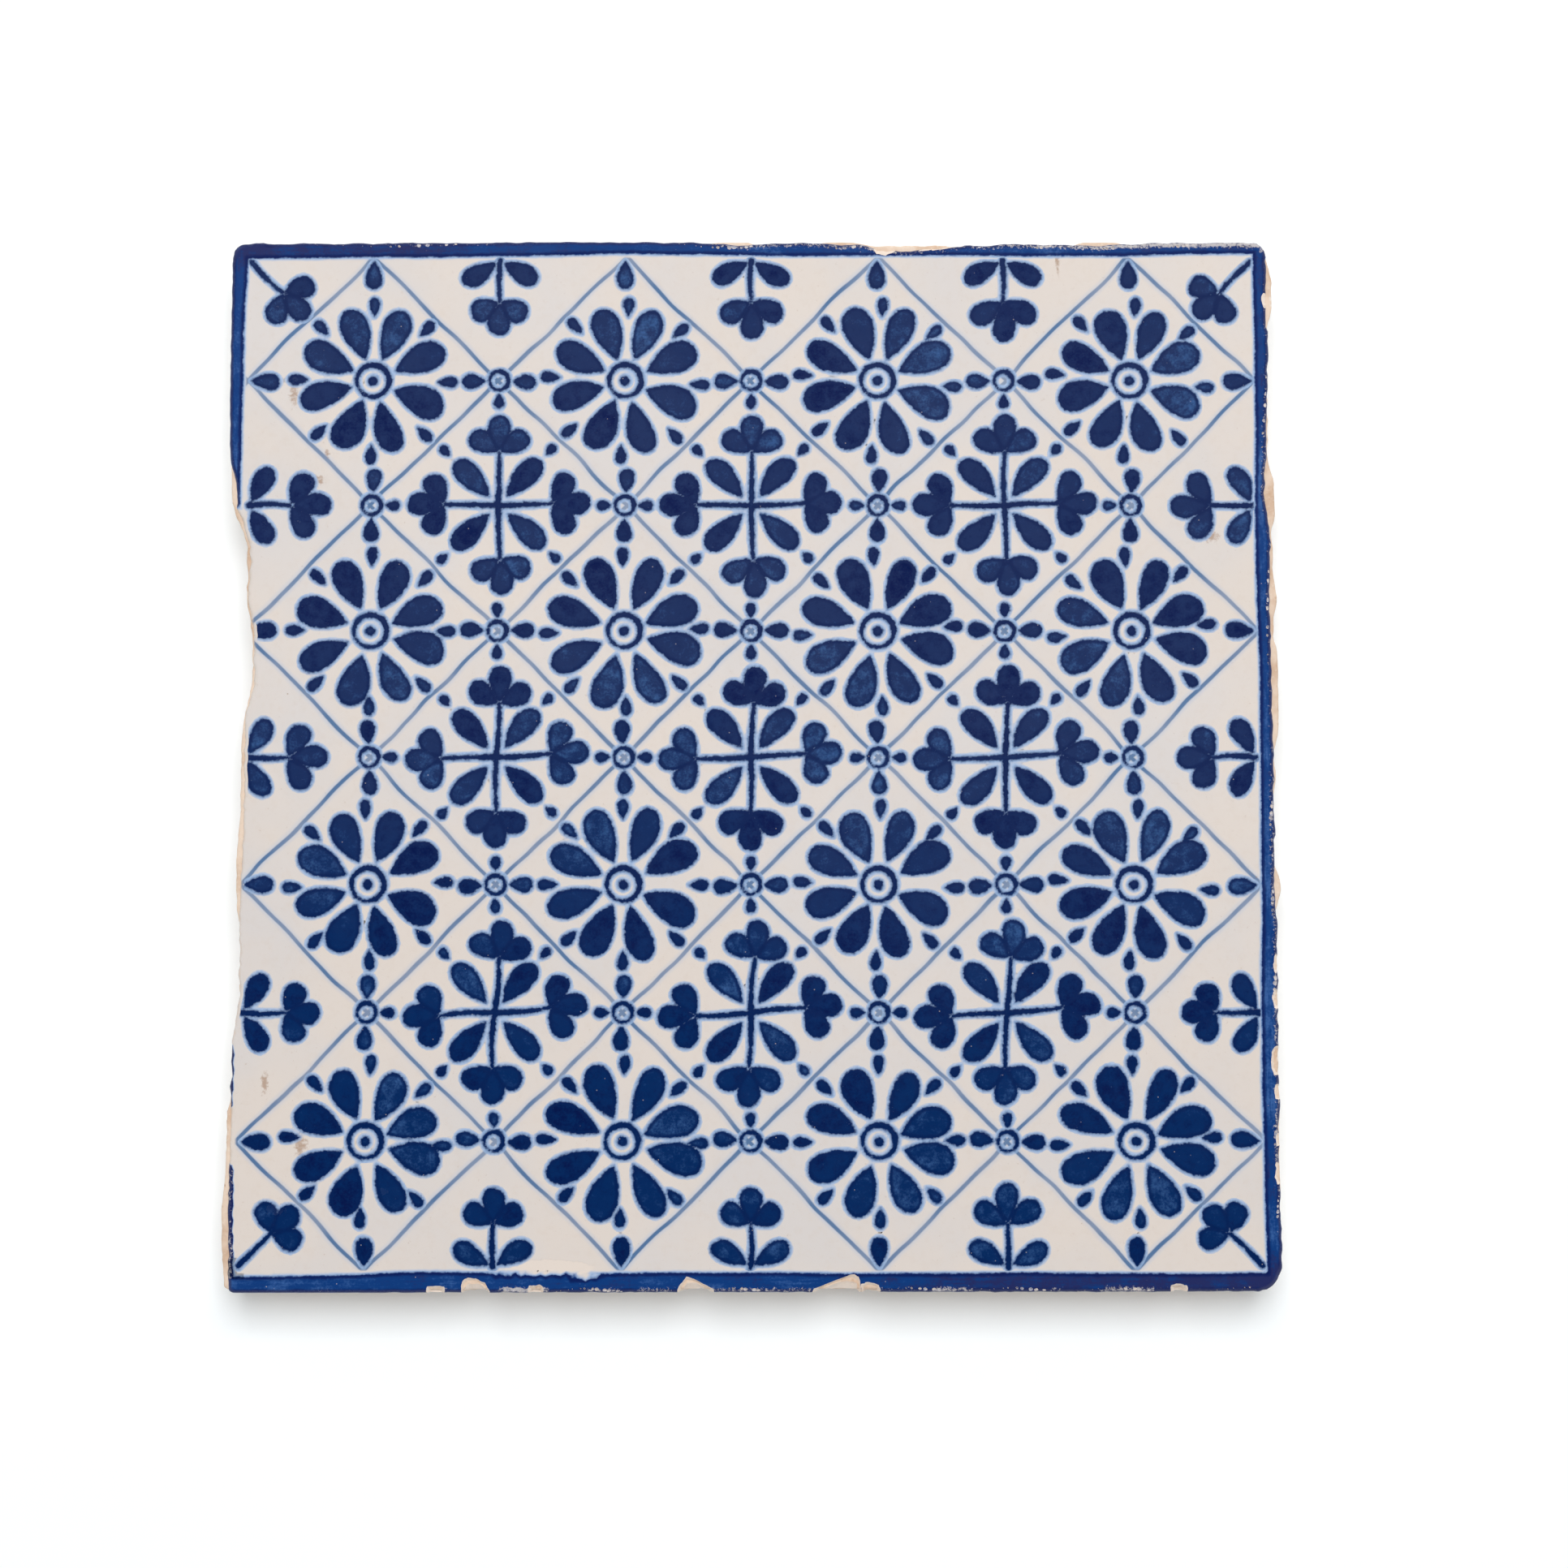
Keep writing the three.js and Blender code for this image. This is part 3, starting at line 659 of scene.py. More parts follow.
def coat_block(sizes):
    """The coat as a solid slab, before the clay and the chips are taken out of it."""
    outline = coat_outline(sizes)
    depth = in_mm(sizes.undulation)
    bm = bmesh.new()
    bmesh.ops.create_grid(bm, x_segments=CELLS, y_segments=CELLS, size=1)
    steps = np.array([vertex.co for vertex in bm.verts])
    column, row = np.rint((steps[:, :2].T + 1) / 2 * CELLS).astype(int)
    x, y = drawn_in(*outline.place(column, row), FACE_INSET)
    move_to(bm, x, y, GLAZE_TOP + waves_at(x, y, depth))
    station = bm.verts.layers.int.new("station")
    numbers = {crossing: number for number, crossing in enumerate(zip(*perimeter()))}
    for vertex, crossing in zip(bm.verts, zip(column, row)):
        vertex[station] = numbers.get(crossing, -1)
    rim_x, rim_y = outline.place(*perimeter())

    def place_row(level, number):
        height, inset = level
        across, up = drawn_in(rim_x[number], rim_y[number], inset)
        if height < DRIBBLE_BELOW:
            run = eased(rough_at(across / DRIBBLE_SIZE, up / DRIBBLE_SIZE, 5), -0.5, 0.6)
            height += DRIBBLE_SHARE * (DRIBBLE_BELOW - height) * (1 - run)
        return across, up, height + waves_at(across, up, depth) * eased(height, 7, GLAZE_TOP)

    edges = [e for e in bm.edges if e.is_boundary]
    add_rows(bm, edges, station, COAT_ROWS, place_row)
    return closed(bm), outline


def roughen(verts, amount, size, seed):
    """Moves points by noise, as a break in clay leaves them."""
    for vertex in verts:
        x, y, z = vertex.co / MM / size
        shift = Vector((rough_at(x + seed, y, z), rough_at(x, y + seed, z + 9), rough_at(x + 5, y, z + seed)))
        vertex.co += shift * amount * MM


def rim_place(side, along, inside):
    """A place near one side of the square."""
    away = (HALF - inside) * (1 if side in ("right", "top") else -1)
    return (along, away) if side in ("bottom", "top") else (away, along)


def add_chip(bm, chip, grow, seed):
    """Adds a wedge that slopes from its corners on the glazed face down to the side of the tile."""
    side, depth, start, end, inner = chip
    middle = (start + end) / 2
    points = []
    for along, inside in ((start, -OVERSHOOT), *inner, (end, -OVERSHOOT)):
        along += grow * (1 if along > middle else -1)
        points.append((*rim_place(side, along, inside + grow * (inside > 0)), GLAZE_TOP + OVERSHOOT))
    for along in (start, end):
        for length, inside, drop in CHIP_FEET:
            place = rim_place(side, middle + (along - middle) * length, inside + grow * (inside > 0))
            points.append((*place, CLAY_TOP - drop * depth - grow))
    verts = [bmesh.ops.create_vert(bm, co=Vector(point) * MM)["vert"][0] for point in points]
    hull = bmesh.ops.convex_hull(bm, input=verts)
    bmesh.ops.delete(bm, geom=[v for v in hull["geom_interior"] if isinstance(v, BMVert)], context="VERTS")
    faces = {face for vertex in verts if vertex.is_valid for face in vertex.link_faces}
    edges = list({edge for face in faces for edge in face.edges})
    grown = bmesh.ops.subdivide_edges(bm, edges=edges, cuts=CHIP_CUTS, use_grid_fill=True)
    roughen([v for v in grown["geom_inner"] if isinstance(v, BMVert)], seed=seed, **CHIP_ROUGHNESS)


def chip_cutter(grow, material):
    bm = bmesh.new()
    for number, chip in enumerate(CHIPS):
        add_chip(bm, chip, grow, CHIP_SEED_STEP * number)
    bmesh.ops.triangulate(bm, faces=bm.faces)
    bmesh.ops.recalc_face_normals(bm, faces=bm.faces)
    return new_object("chips", bm, material)


def nick_cutter(grow, material):
    """Small knocks along the arris of the coat, each in its own stretch so that none meets another."""
    bm = bmesh.new()
    stamp = bpy.data.meshes.new("nick")
    seed = 0
    for side, start, end, count, width in NICKS:
        step = (end - start) / count
        for number in range(count):
            seed += 1
            along = start + step * (number + 0.5 + 0.2 * hand_of(number, seed))
            across = min(width * about(1, 0.8, seed, 2), 0.8 * step)
            inside = about(float(along_table(GLAZE_WEAR[side], along)) + 0.22, 0.3, seed, 5)
            sizes = Vector((across / 2, across * about(0.3, 0.15, seed, 9), about(0.26, 0.12, seed, 1)))
            turn = about(0 if side in ("bottom", "top") else math.pi / 2, 0.5, seed, 4)
            place = Vector((*rim_place(side, along, inside), GLAZE_TOP - NICK_SINK))
            nick = bmesh.new()
            bmesh.ops.create_icosphere(nick, subdivisions=2, radius=MM)
            roughen(nick.verts, seed=NICK_SEED_STEP * seed, **NICK_ROUGHNESS)
            bmesh.ops.scale(nick, verts=nick.verts, vec=sizes + Vector((grow, grow, grow)))
            bmesh.ops.rotate(nick, verts=nick.verts, matrix=Matrix.Rotation(turn, 3, "Z"))
            bmesh.ops.translate(nick, verts=nick.verts, vec=place * MM)
            nick.to_mesh(stamp)
            nick.free()
            bm.from_mesh(stamp)
    bpy.data.meshes.remove(stamp)
    return new_object("nicks", bm, material)


def chip_and_nick(piece, buried):
    """Wears the rim of a glazed piece. A painted one is cut back a little further than the glaze under it."""
    cut_away(piece, chip_cutter(CHIP_RIM + buried, look_of("broken_clay", build_broken)))
    cut_away(piece, nick_cutter(buried, look_of("broken_glaze", build_broken_glaze)))
    drop_crumbs(piece.data)


def frame_depth(x, y):
    """How far places lie inside the painted frame, negative where they lie outside it."""

    def wider(side, along, seed):
        slow, quick = 0.05 * np.sin(along / 5.7 + seed), 0.03 * np.sin(along / 2.3)
        return along_table(BAND_EXTRA[side], along) + slow + quick

    from_rim = HALF + x - along_table(GLAZE_WEAR["left"], y)
    bands = [
        y - FIELD_TOP + wider("top", x, 1),
        FIELD_BOTTOM - y + wider("bottom", x, 2),
        x - FIELD_RIGHT + wider("right", y, 3),
        np.minimum(FIELD_LEFT - x + wider("left", y, 4), y - LEFT_BAND_END),
        np.minimum(along_table(REMNANT, y) - from_rim + 0.08 * np.sin(y * 3.1), REMNANT_REACH),
    ]
    depth = np.maximum.reduce(bands)
    for flake_x, flake_y, long, high in FLAKES:
        ragged = 0.14 * np.sin(x * 4.1) + 0.1 * np.sin(x * 9.7 + y * 3)
        away = (np.hypot((x - flake_x) / long, (y - flake_y) / high) - 1) * high + ragged
        depth = np.minimum(depth, np.maximum(away, FLAKE_FLOOR))
    return depth


def side_value(tables, x, y):
    """A value from the table of the side that each place is nearest to."""
    away = np.stack([HALF + y, HALF - x, HALF - y, HALF + x])
    found = np.stack([along_table(tables[side], x if side in ("bottom", "top") else y) for side in SIDES])
    return np.take_along_axis(found, away.argmin(0)[None], 0)[0]


def frame_parts(x, y, halo):
    """Which band of the frame each place belongs to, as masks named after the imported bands."""
    on_right = (HALF - x < HALF - y) & (HALF - x < HALF + y)
    on_left = (HALF + x < HALF - y) & (y > 0)
    top = (y > FIELD_TOP - 2 * halo) & ~on_right & ~on_left
    return {
        "border_top_left": top & (x < TOP_BAND_BREAK),
        "border_top_right": top & (x >= TOP_BAND_BREAK),
        "border_bottom": (y < FIELD_BOTTOM + 2 * halo) & ~on_right,
        "border_right": on_right & (x > FIELD_RIGHT - 2 * halo),
        "border_left_upper": on_left & (x < FIELD_LEFT + 2 * halo) & (y > LEFT_BAND_END - 2 * halo),
        "border_left_lower": (x < REMNANT_REACH - HALF) & (y > REMNANT[0][0]) & (y < REMNANT[-1][0] + 1),
    }


def paint_relief(sizes, depth):
    """How far painted glaze stands above bare glaze, by the distance inside a stroke."""
    halo = in_mm(sizes.halo)
    lift = in_mm(sizes.paint_lift) * eased(depth, -0.55 * halo, 0.3)
    return lift - in_mm(sizes.paint_sink) * (1 - eased(depth, -halo, -0.6 * halo))


def lay_out(mesh):
    """Gives a painted piece a map for its textures: the upper side fills it, and the rest takes a corner."""
    places = mesh_places(mesh)[:2]
    flat = np.empty(len(mesh.loops), np.int32)
    mesh.loops.foreach_get("vertex_index", flat)
    up = np.repeat([p.normal.z > FACES_UP for p in mesh.polygons], [p.loop_total for p in mesh.polygons])
    low, high = places.min(1, keepdims=True), places.max(1, keepdims=True)
    shares = ((places - low) / (high - low))[:, flat]
    face, corner = (start + width * shares for start, width in (MAP_FACE, MAP_CORNER))
    spots = np.where(up, face, corner)
    mesh.uv_layers.new(name="OFBake").uv.foreach_set("vector", spots.T.ravel().astype(np.float32))


def make_border(name, block, sizes, material):
    """One band of the frame: the skin of the coat there, raised by the paint and closed underneath."""
    halo = in_mm(sizes.halo)
    bm = block.copy()
    bm.normal_update()
    x, y, z = places_of(bm).T
    relief = paint_relief(sizes, frame_depth(x, y))
    relief = np.where(z < PAINT_ENDS_BELOW + PAINT_FADES_OVER, -in_mm(sizes.paint_sink), relief)
    centres = np.array([face.calc_center_median() for face in bm.faces]).T / MM
    part = frame_parts(centres[0], centres[1], halo)[name]
    keep = part & (centres[2] > PAINT_ENDS_BELOW) & (frame_depth(centres[0], centres[1]) > -halo)
    for vertex, height in zip(bm.verts, relief):
        vertex.co += vertex.normal * height * MM
    bmesh.ops.delete(bm, geom=[f for f, kept in zip(bm.faces[:], keep) if not kept], context="FACES")
    drop_pinches(bm)
    bmesh.ops.solidify(bm, geom=bm.faces[:], thickness=sizes.paint_body)
    bmesh.ops.recalc_face_normals(bm, faces=bm.faces)
    return new_object("painted_" + name, bm, material)


def dab(start, length, width, turn, base=(0, 0), bend=0.0):
    """A teardrop left by one touch of a loaded brush, with its point at a distance from the base."""
    share = 0.5 - 0.5 * np.cos(np.linspace(0, math.pi, DAB_POINTS))
    swell = share ** DAB_SWELL * (1 - share) ** DAB_TAPER
    half_width = width / 2 * swell / swell.max()
    spine = bend * np.sin(math.pi * share)
    upper = np.stack([start + length * share, spine + half_width], 1)
    lower = np.stack([start + length * share, spine - half_width], 1)[1:-1]
    corners = np.concatenate([upper, lower[::-1]])
    cos, sin = math.cos(turn), math.sin(turn)
    corners = corners @ np.array([[cos, sin], [-sin, cos]]) + np.array(base)

    def depth(x, y):
        near = np.hypot(x - corners[:, 0].mean(), y - corners[:, 1].mean()) < length / 2 + DAB_REACH
        found = np.full(len(x), -FAR_OFF)
        found[near] = polygon_depth(x[near], y[near], corners)
        return found

    return depth


def polygon_depth(x, y, corners):
    """How far places lie inside a closed outline, negative outside it."""
    nearest = np.full(len(x), np.inf)
    inside = np.zeros(len(x), bool)
    for (ax, ay), (bx, by) in zip(corners, np.roll(corners, -1, 0)):
        run, rise = bx - ax, by - ay
        share = np.clip(((x - ax) * run + (y - ay) * rise) / (run * run + rise * rise), 0, 1)
        nearest = np.minimum(nearest, np.hypot(x - ax - share * run, y - ay - share * rise))
        if ay != by:
            inside ^= ((ay > y) != (by > y)) & (x < (y - ay) / rise * run + ax)
    return np.where(inside, nearest, -nearest)


def brush_line(start, end, line, turn, bow=0.0):
    """A brush line from one distance to another along a direction, thicker where the brush set down."""
    cos, sin = math.cos(turn), math.sin(turn)

    def depth(x, y):
        along = x * cos + y * sin
        across = y * cos - x * sin
        share = np.clip((along - start) / (end - start), 0, 1)
        middle = bow * np.sin(math.pi * share)
        away = np.hypot(along - (start + share * (end - start)), across - middle)
        return line / 2 * (LINE_START - LINE_LOSS * share) - away

    return depth


def ring(radius, line, base=(0, 0)):
    def depth(x, y):
        away = np.hypot(x - base[0], y - base[1])
        turn = np.arctan2(y - base[1], x - base[0])
        return line / 2 * (1 + RING_SWELL * np.sin(turn + RING_TURN)) - np.abs(away - radius)

    return depth


def dot(radius, base=(0, 0)):
    def depth(x, y):
        return radius - np.hypot(x - base[0], y - base[1])

    return depth


def rosette_strokes(row, column):
    strokes = [ring(ROSETTE_RING["radius"], ROSETTE_RING["line"]), dot(ROSETTE_EYE)]
    for number in range(ROSETTE["petals"]):
        turn = (number + 0.5) * math.tau / ROSETTE["petals"]
        strokes.append(dab(
            start=about(ROSETTE["start"], 0.2, number, row, column),
            length=ROSETTE["length"] * about(1, HAND_LENGTH, row, column, number),
            width=ROSETTE["width"] * about(1, HAND_SIZE, column, number, row),
            turn=about(turn, HAND_TURN, number, row, column),
            bend=BENDS["petal"] * hand_of(row, number, column),
        ))
        between = about(turn + math.pi / ROSETTE["petals"], HAND_TURN, column, row, number)
        strokes.append(dab(turn=between, **ROSETTE_TOUCH))
    edges = {0: column == REPEATS, 1: row == 1, 2: column == 1, 3: row == REPEATS}
    for quarter, at_frame in edges.items():
        turn = quarter * math.pi / 2
        base = (PITCH / 2 * math.cos(turn), PITCH / 2 * math.sin(turn))
        touch = FRAME_DAB if at_frame else KNOT_DAB
        back = about(turn + math.pi, HAND_TURN, quarter, row, column)
        strokes.append(dab(turn=back, base=base, **touch))
        if quarter < 2 and not at_frame:
            strokes.append(ring(KNOT_RING["radius"], KNOT_RING["line"], base))
    return strokes


def trefoil(stem_end, size, turn):
    base = (stem_end * math.cos(turn), stem_end * math.sin(turn))
    dabs = []
    for side in (-TREFOIL["spread"], 0, TREFOIL["spread"]):
        length = TREFOIL["length"] * size * (1 if side == 0 else TREFOIL["side_length"])
        bend = BENDS["trefoil"] * hand_of(size, turn, side)
        dabs.append(dab(TREFOIL["start"], length, TREFOIL["width"], turn + side, base, bend))
    return dabs


def cross_strokes(row, column):
    strokes = []
    for number in range(4):
        straight = number * math.pi / 2
        turn = about(straight, HAND_TURN, row, number, column)
        size = about(1, HAND_LENGTH, number, column, row)
        bow = BENDS["cross stem"] * hand_of(row, column, number)
        strokes.append(brush_line(0, CROSS["stem"], CROSS["line"], turn, bow))
        strokes += trefoil(CROSS["stem"], size, turn)
        bend = BENDS["cross dab"] * hand_of(column, number, row)
        strokes.append(dab(turn=turn + math.pi / 4, bend=bend, **CROSS_DAB))
        strokes.append(dab(turn=turn + math.pi / 4, **CROSS_TOUCH))
        knot = (PITCH / 2 * math.cos(straight), PITCH / 2 * math.sin(straight))
        strokes.append(dab(turn=straight + math.pi, base=knot, **CROSS_KNOT_DAB))
    return strokes


def stem_strokes(root, stem, seed):
    size = about(1, HAND_SIZE, seed, 3, 1)
    bow = BENDS["sprig"] * hand_of(seed, 7)
    return [brush_line(root, stem, CROSS["line"], 0, bow)] + trefoil(stem, size, 0)


def sprig_strokes(seed):
    strokes = stem_strokes(SPRIG["root"], SPRIG["stem"], seed)
    for side in (-SPRIG["dab_spread"], SPRIG["dab_spread"]):
        bend = BENDS["sprig"] * hand_of(seed, side)
        base = (SPRIG["root"], 0)
        strokes.append(dab(SPRIG["dab_start"], SPRIG["dab_length"], SPRIG["dab_width"], side, base, bend))
    return strokes


def store(verts, layers, *rows):
    """Keeps numbers with points, one row of them for each layer in turn."""
    for vertex, *values in zip(verts, *rows):
        for layer, value in zip(layers, values):
            vertex[layer] = value


def make_painting(name, strokes, place, turn, sizes, material):
    """A painted motif: a fine net laid on the glaze, kept where paint or its bleed lies."""
    halo = in_mm(sizes.halo)
    step = in_mm(sizes.brush_step)
    cos, sin = math.cos(turn), math.sin(turn)
    loads = np.array([about(*MOTIF_LOAD, number, *place) for number in range(len(strokes))])
    outline = coat_outline(sizes)

    def paint_at(x, y):
        """How far places lie inside the nearest stroke, how heavily it is painted, and how far they lie
        inside the shape that is kept, which also ends where the coat rolls over its worn edge."""
        across, up = x - place[0], y - place[1]
        local_x, local_y = across * cos + up * sin, up * cos - across * sin
        depths = np.array([stroke(local_x, local_y) for stroke in strokes])
        depth = np.minimum(depths.max(0), -FRAME_GAP - frame_depth(x, y))
        return depth, loads[depths.argmax(0)], np.minimum(depth, outline.rim(x, y) - FACE_INSET - halo)

    def slope_at(x, y, shape):
        beside = ((x + SLOPE_STEP, y), (x, y + SLOPE_STEP))
        return [(paint_at(*spot)[2] - shape) / SLOPE_STEP for spot in beside]

    coarse = np.arange(-PITCH, PITCH)
    spread_x, spread_y = (grid.ravel() for grid in np.meshgrid(place[0] + coarse, place[1] + coarse))
    painted = paint_at(spread_x, spread_y)[2] > -halo - NET_MARGIN
    low = np.array([spread_x[painted].min(), spread_y[painted].min()]) - NET_MARGIN
    high = np.array([spread_x[painted].max(), spread_y[painted].max()]) + NET_MARGIN
    cells = np.ceil((high - low) / step).astype(int)
    bm = bmesh.new()
    layers = [bm.verts.layers.float.new(name) for name in ("depth", "load", "shape", "slope_x", "slope_y")]
    bmesh.ops.create_grid(bm, x_segments=int(cells[0]), y_segments=int(cells[1]), size=1)
    x, y, _ = places_of(bm).T * MM
    x = low[0] + (x + 1) / 2 * (high - low)[0]
    y = low[1] + (y + 1) / 2 * (high - low)[1]
    move_to(bm, x, y, np.zeros_like(x))
    found = paint_at(x, y)
    store(bm.verts, layers, *found)
    bmesh.ops.delete(bm, geom=[v for v, d in zip(bm.verts[:], found[2]) if d <= -halo], context="VERTS")
    drop_pinches(bm)

    # The rim of the net is pulled to where the bleed ends
    rim = [vertex for vertex in bm.verts if vertex.is_boundary]
    x, y, _ = np.array([vertex.co for vertex in rim]).T / MM
    shape = np.array([vertex[layers[2]] for vertex in rim])
    slope_x, slope_y = slope_at(x, y, shape)
    pull = np.clip(-halo - shape, -step, 0)
    x, y = x + pull * slope_x, y + pull * slope_y
    for vertex, *values in zip(rim, x, y):
        vertex.co = Vector((*values, 0)) * MM
    store(rim, layers, *paint_at(x, y), slope_x, slope_y)

    x, y, _ = places_of(bm).T
    relief = paint_relief(sizes, np.array([vertex[layers[0]] for vertex in bm.verts]))
    move_to(bm, x, y, GLAZE_TOP + waves_at(x, y, in_mm(sizes.undulation)) + relief)
    bmesh.ops.solidify(bm, geom=bm.faces[:], thickness=sizes.paint_body)
    bmesh.ops.recalc_face_normals(bm, faces=bm.faces)

    # The rim of the underside is drawn in, so that the walls lean and show from below
    for vertex in bm.verts:
        inwards = Vector((vertex[layers[3]], vertex[layers[4]], 0))
        if inwards.length and any(face.normal.z < FACES_DOWN for face in vertex.link_faces):
            vertex.co += inwards * WALL_LEAN * MM
    piece = new_object(name, bm, material)
    for unused in ("shape", "slope_x", "slope_y"):
        piece.data.attributes.remove(piece.data.attributes[unused])
    lay_out(piece.data)
    shade(piece.data, BRUSH_SHARP)
    return piece


def paint_motif(name, strokes, place, turn, sizes):
    material = look_of("cobalt_brushwork", build_brushwork)
    piece = make_painting("painted_" + name, strokes, place, turn, sizes, material)
    finish_piece(piece, "cobalt_motif", name)


def repeat_place(column, row):
    """The middle of a repeat of the pattern. Columns count from the left and rows from the top."""
    middle = (REPEATS + 1) / 2
    return FIELD_X + (column - middle) * PITCH, FIELD_Y - (row - middle) * PITCH


class Wiring:
    """Adds nodes to one node tree and joins them, so that a material reads as a list of steps."""

    def __init__(self, tree):
        self.tree = tree

    def feed(self, socket, value):
        if isinstance(value, bpy.types.NodeSocket):
            self.tree.links.new(value, socket)
        elif socket.type == "RGBA" and len(value) == 3:
            socket.default_value = (*value, 1)
        else:
            socket.default_value = value

    def add(self, kind, inputs, **settings):
        node = self.tree.nodes.new("ShaderNode" + kind)
        for name, value in settings.items():
            setattr(node, name, value)
        for socket, value in inputs.items():
            self.feed(node.inputs[socket], value)
        return node

    def math(self, operation, first, second=0.5):
        return self.add("Math", {0: first, 1: second}, operation=operation).outputs[0]

    def total(self, *terms):
        """The sum of products, each written as (value, weight)."""
        found = 0.0
        for value, weight in terms:
            term = self.add("Math", {0: value, 1: weight, 2: found}, operation="MULTIPLY_ADD")
            found = term.outputs[0]
        return found

    def most(self, *values):
        found = values[0]
        for value in values[1:]:
            found = self.math("MAXIMUM", found, value)
        return found

    def least(self, *values):
        found = values[0]
        for value in values[1:]:
            found = self.math("MINIMUM", found, value)
        return found

    def place(self):
        """Object coordinates in millimetres."""
        coordinates = self.add("TexCoord", {}).outputs["Object"]
        return self.add("VectorMath", {0: coordinates, "Scale": 1 / MM}, operation="SCALE").outputs[0]

    def stretched(self, place, x, y, z):
        return self.add("Mapping", {"Vector": place, "Scale": (x, y, z)}).outputs[0]

    def noise(self, place, size, detail=2.0, roughness=0.5):
        """Cloudy noise about 0.5, with features of the given size in millimetres."""
        inputs = {"Vector": place, "Scale": 1 / size, "Detail": detail, "Roughness": roughness}
        return self.add("TexNoise", inputs).outputs["Fac"]

    def spots(self, place, size, share, low, high):
        """Round spots in a share of the cells of a given size. Low and high are where a spot fades out."""
        cells = self.add("TexVoronoi", {"Vector": place, "Scale": 1 / size}).outputs
        random = self.split(cells["Color"])[0]
        chosen = self.math("LESS_THAN", random, share)
        return self.math("MULTIPLY", chosen, self.ramp(cells["Distance"], high, low))

    def ramp(self, value, low, high, start=0.0, end=1.0):
        inputs = {"Value": value, "From Min": low, "From Max": high, "To Min": start, "To Max": end}
        return self.add("MapRange", inputs, interpolation_type="SMOOTHSTEP").outputs["Result"]

    def blend(self, share, first, second):
        inputs = {0: share, 6: first, 7: second}
        return self.add("Mix", inputs, data_type="RGBA").outputs[2]

    def split(self, vector):
        return self.add("SeparateXYZ", {0: vector}).outputs

    def value(self, name):
        """A number that the mesh stores at each vertex."""
        return self.add("Attribute", {}, attribute_name=name).outputs["Fac"]

    def group(self, build, **inputs):
        """Places a shared effect, which is built the first time that it is used."""
        tree = bpy.data.node_groups.get(build.__name__) or build(build.__name__)
        named = {name.replace("_", " ").capitalize(): value for name, value in inputs.items()}
        node = self.add("Group", {}, node_tree=tree)
        for name, value in named.items():
            self.feed(node.inputs[name], value)
        return node.outputs


def new_group(name, inputs, outputs):
    """An empty shader group with named sockets, and the wiring to fill it."""
    tree = bpy.data.node_groups.new(name, "ShaderNodeTree")
    for direction, sockets in (("INPUT", inputs), ("OUTPUT", outputs)):
        for socket, kind in sockets.items():
            tree.interface.new_socket(socket, in_out=direction, socket_type="NodeSocket" + kind)
    given = tree.nodes.new("NodeGroupInput").outputs
    return Wiring(tree), given, tree.nodes.new("NodeGroupOutput").inputs


SURFACE = {"Color": "Color", "Roughness": "Float", "Height": "Float"}


def glazed_face(name):
    """Bare tin glaze, with clouds of tone, pits, old stains, a flake, and the fine trellis painted on it."""
    w, given, result = new_group(
        name,
        {"Place": "Vector", "Rim": "Float", "Warm": "Color", "Cool": "Color", "Thin": "Color",
         "Fresh": "Color", "Stain": "Color", "Line": "Color", "Bleed": "Color"},
        SURFACE,
    )
    place = given["Place"]
    # The glaze in the open
    clouds = w.ramp(w.noise(place, 15, 3), 0.35, 0.68)
    colour = w.blend(clouds, given["Warm"], given["Cool"])
    mottle = w.ramp(w.noise(place, 1.1, 4, 0.62), 0.45, 0.75, 0, 0.14)
    colour = w.blend(mottle, colour, given["Thin"])

    line, bleed = trellis(w, place)
    colour = w.blend(bleed, colour, given["Bleed"])
    colour = w.blend(line, colour, given["Line"])

    # Old stains and pits, and the spot where paint has flaked off
    speckle = w.noise(place, 0.45, 4, 0.7)
    wander = w.total((w.noise(place, 1.6, 2), 1.4), (-0.7, 1))
    stained = 0.0
    for spot in STAINS:
        near = w.ramp(oval(w, place, wander, *spot), 1.15, 0, 0, 0.4)
        stained = w.most(w.ramp(w.math("ADD", near, speckle), 0.62, 0.88, 0, 0.66), stained)
    pits = w.spots(place, 3.4, 0.2, 0.012, 0.035)
    stained = w.most(stained, w.math("MULTIPLY", pits, 0.75))
    colour = w.blend(stained, colour, given["Stain"])
    flaked = w.ramp(w.total((oval(w, place, wander, *FLAKES[0]), 1), (speckle, 0.4)), 1.35, 1.2)
    colour = w.blend(flaked, colour, given["Fresh"])

    # The glaze thins over the arris
    frayed = w.total((given["Rim"], 1.0), (w.noise(place, 0.8, 4, 0.65), 0.9))
    thin = w.ramp(frayed, 0.85, 0.35, 0, 0.85)
    colour = w.blend(thin, colour, given["Thin"])
    w.feed(result["Color"], colour)
    roughness = w.total((clouds, 0.05), (stained, 0.35), (thin, 0.22), (mottle, 0.3), (0.12, 1))
    w.feed(result["Roughness"], roughness)
    orange_peel = w.total((w.noise(place, 3.2, 2), 0.03), (w.noise(place, 0.8, 3), 0.006))
    w.feed(result["Height"], w.total((orange_peel, 1), (pits, -0.03), (stained, -0.012), (flaked, -0.02)))
    return w.tree


def oval(w, place, wander, x, y, reach_x, reach_y):
    """The distance from a spot as a share of its reach, warped so that the spot is not a plain oval."""
    x_now, y_now, _ = w.split(place)
    across = w.total((x_now, 1 / reach_x), (wander, 0.5 / reach_x), (-x / reach_x, 1))
    up = w.total((y_now, 1 / reach_y), (wander, -0.4 / reach_y), (-y / reach_y, 1))
    joined = w.add("CombineXYZ", {0: across, 1: up}).outputs[0]
    return w.add("VectorMath", {0: joined}, operation="LENGTH").outputs["Value"]


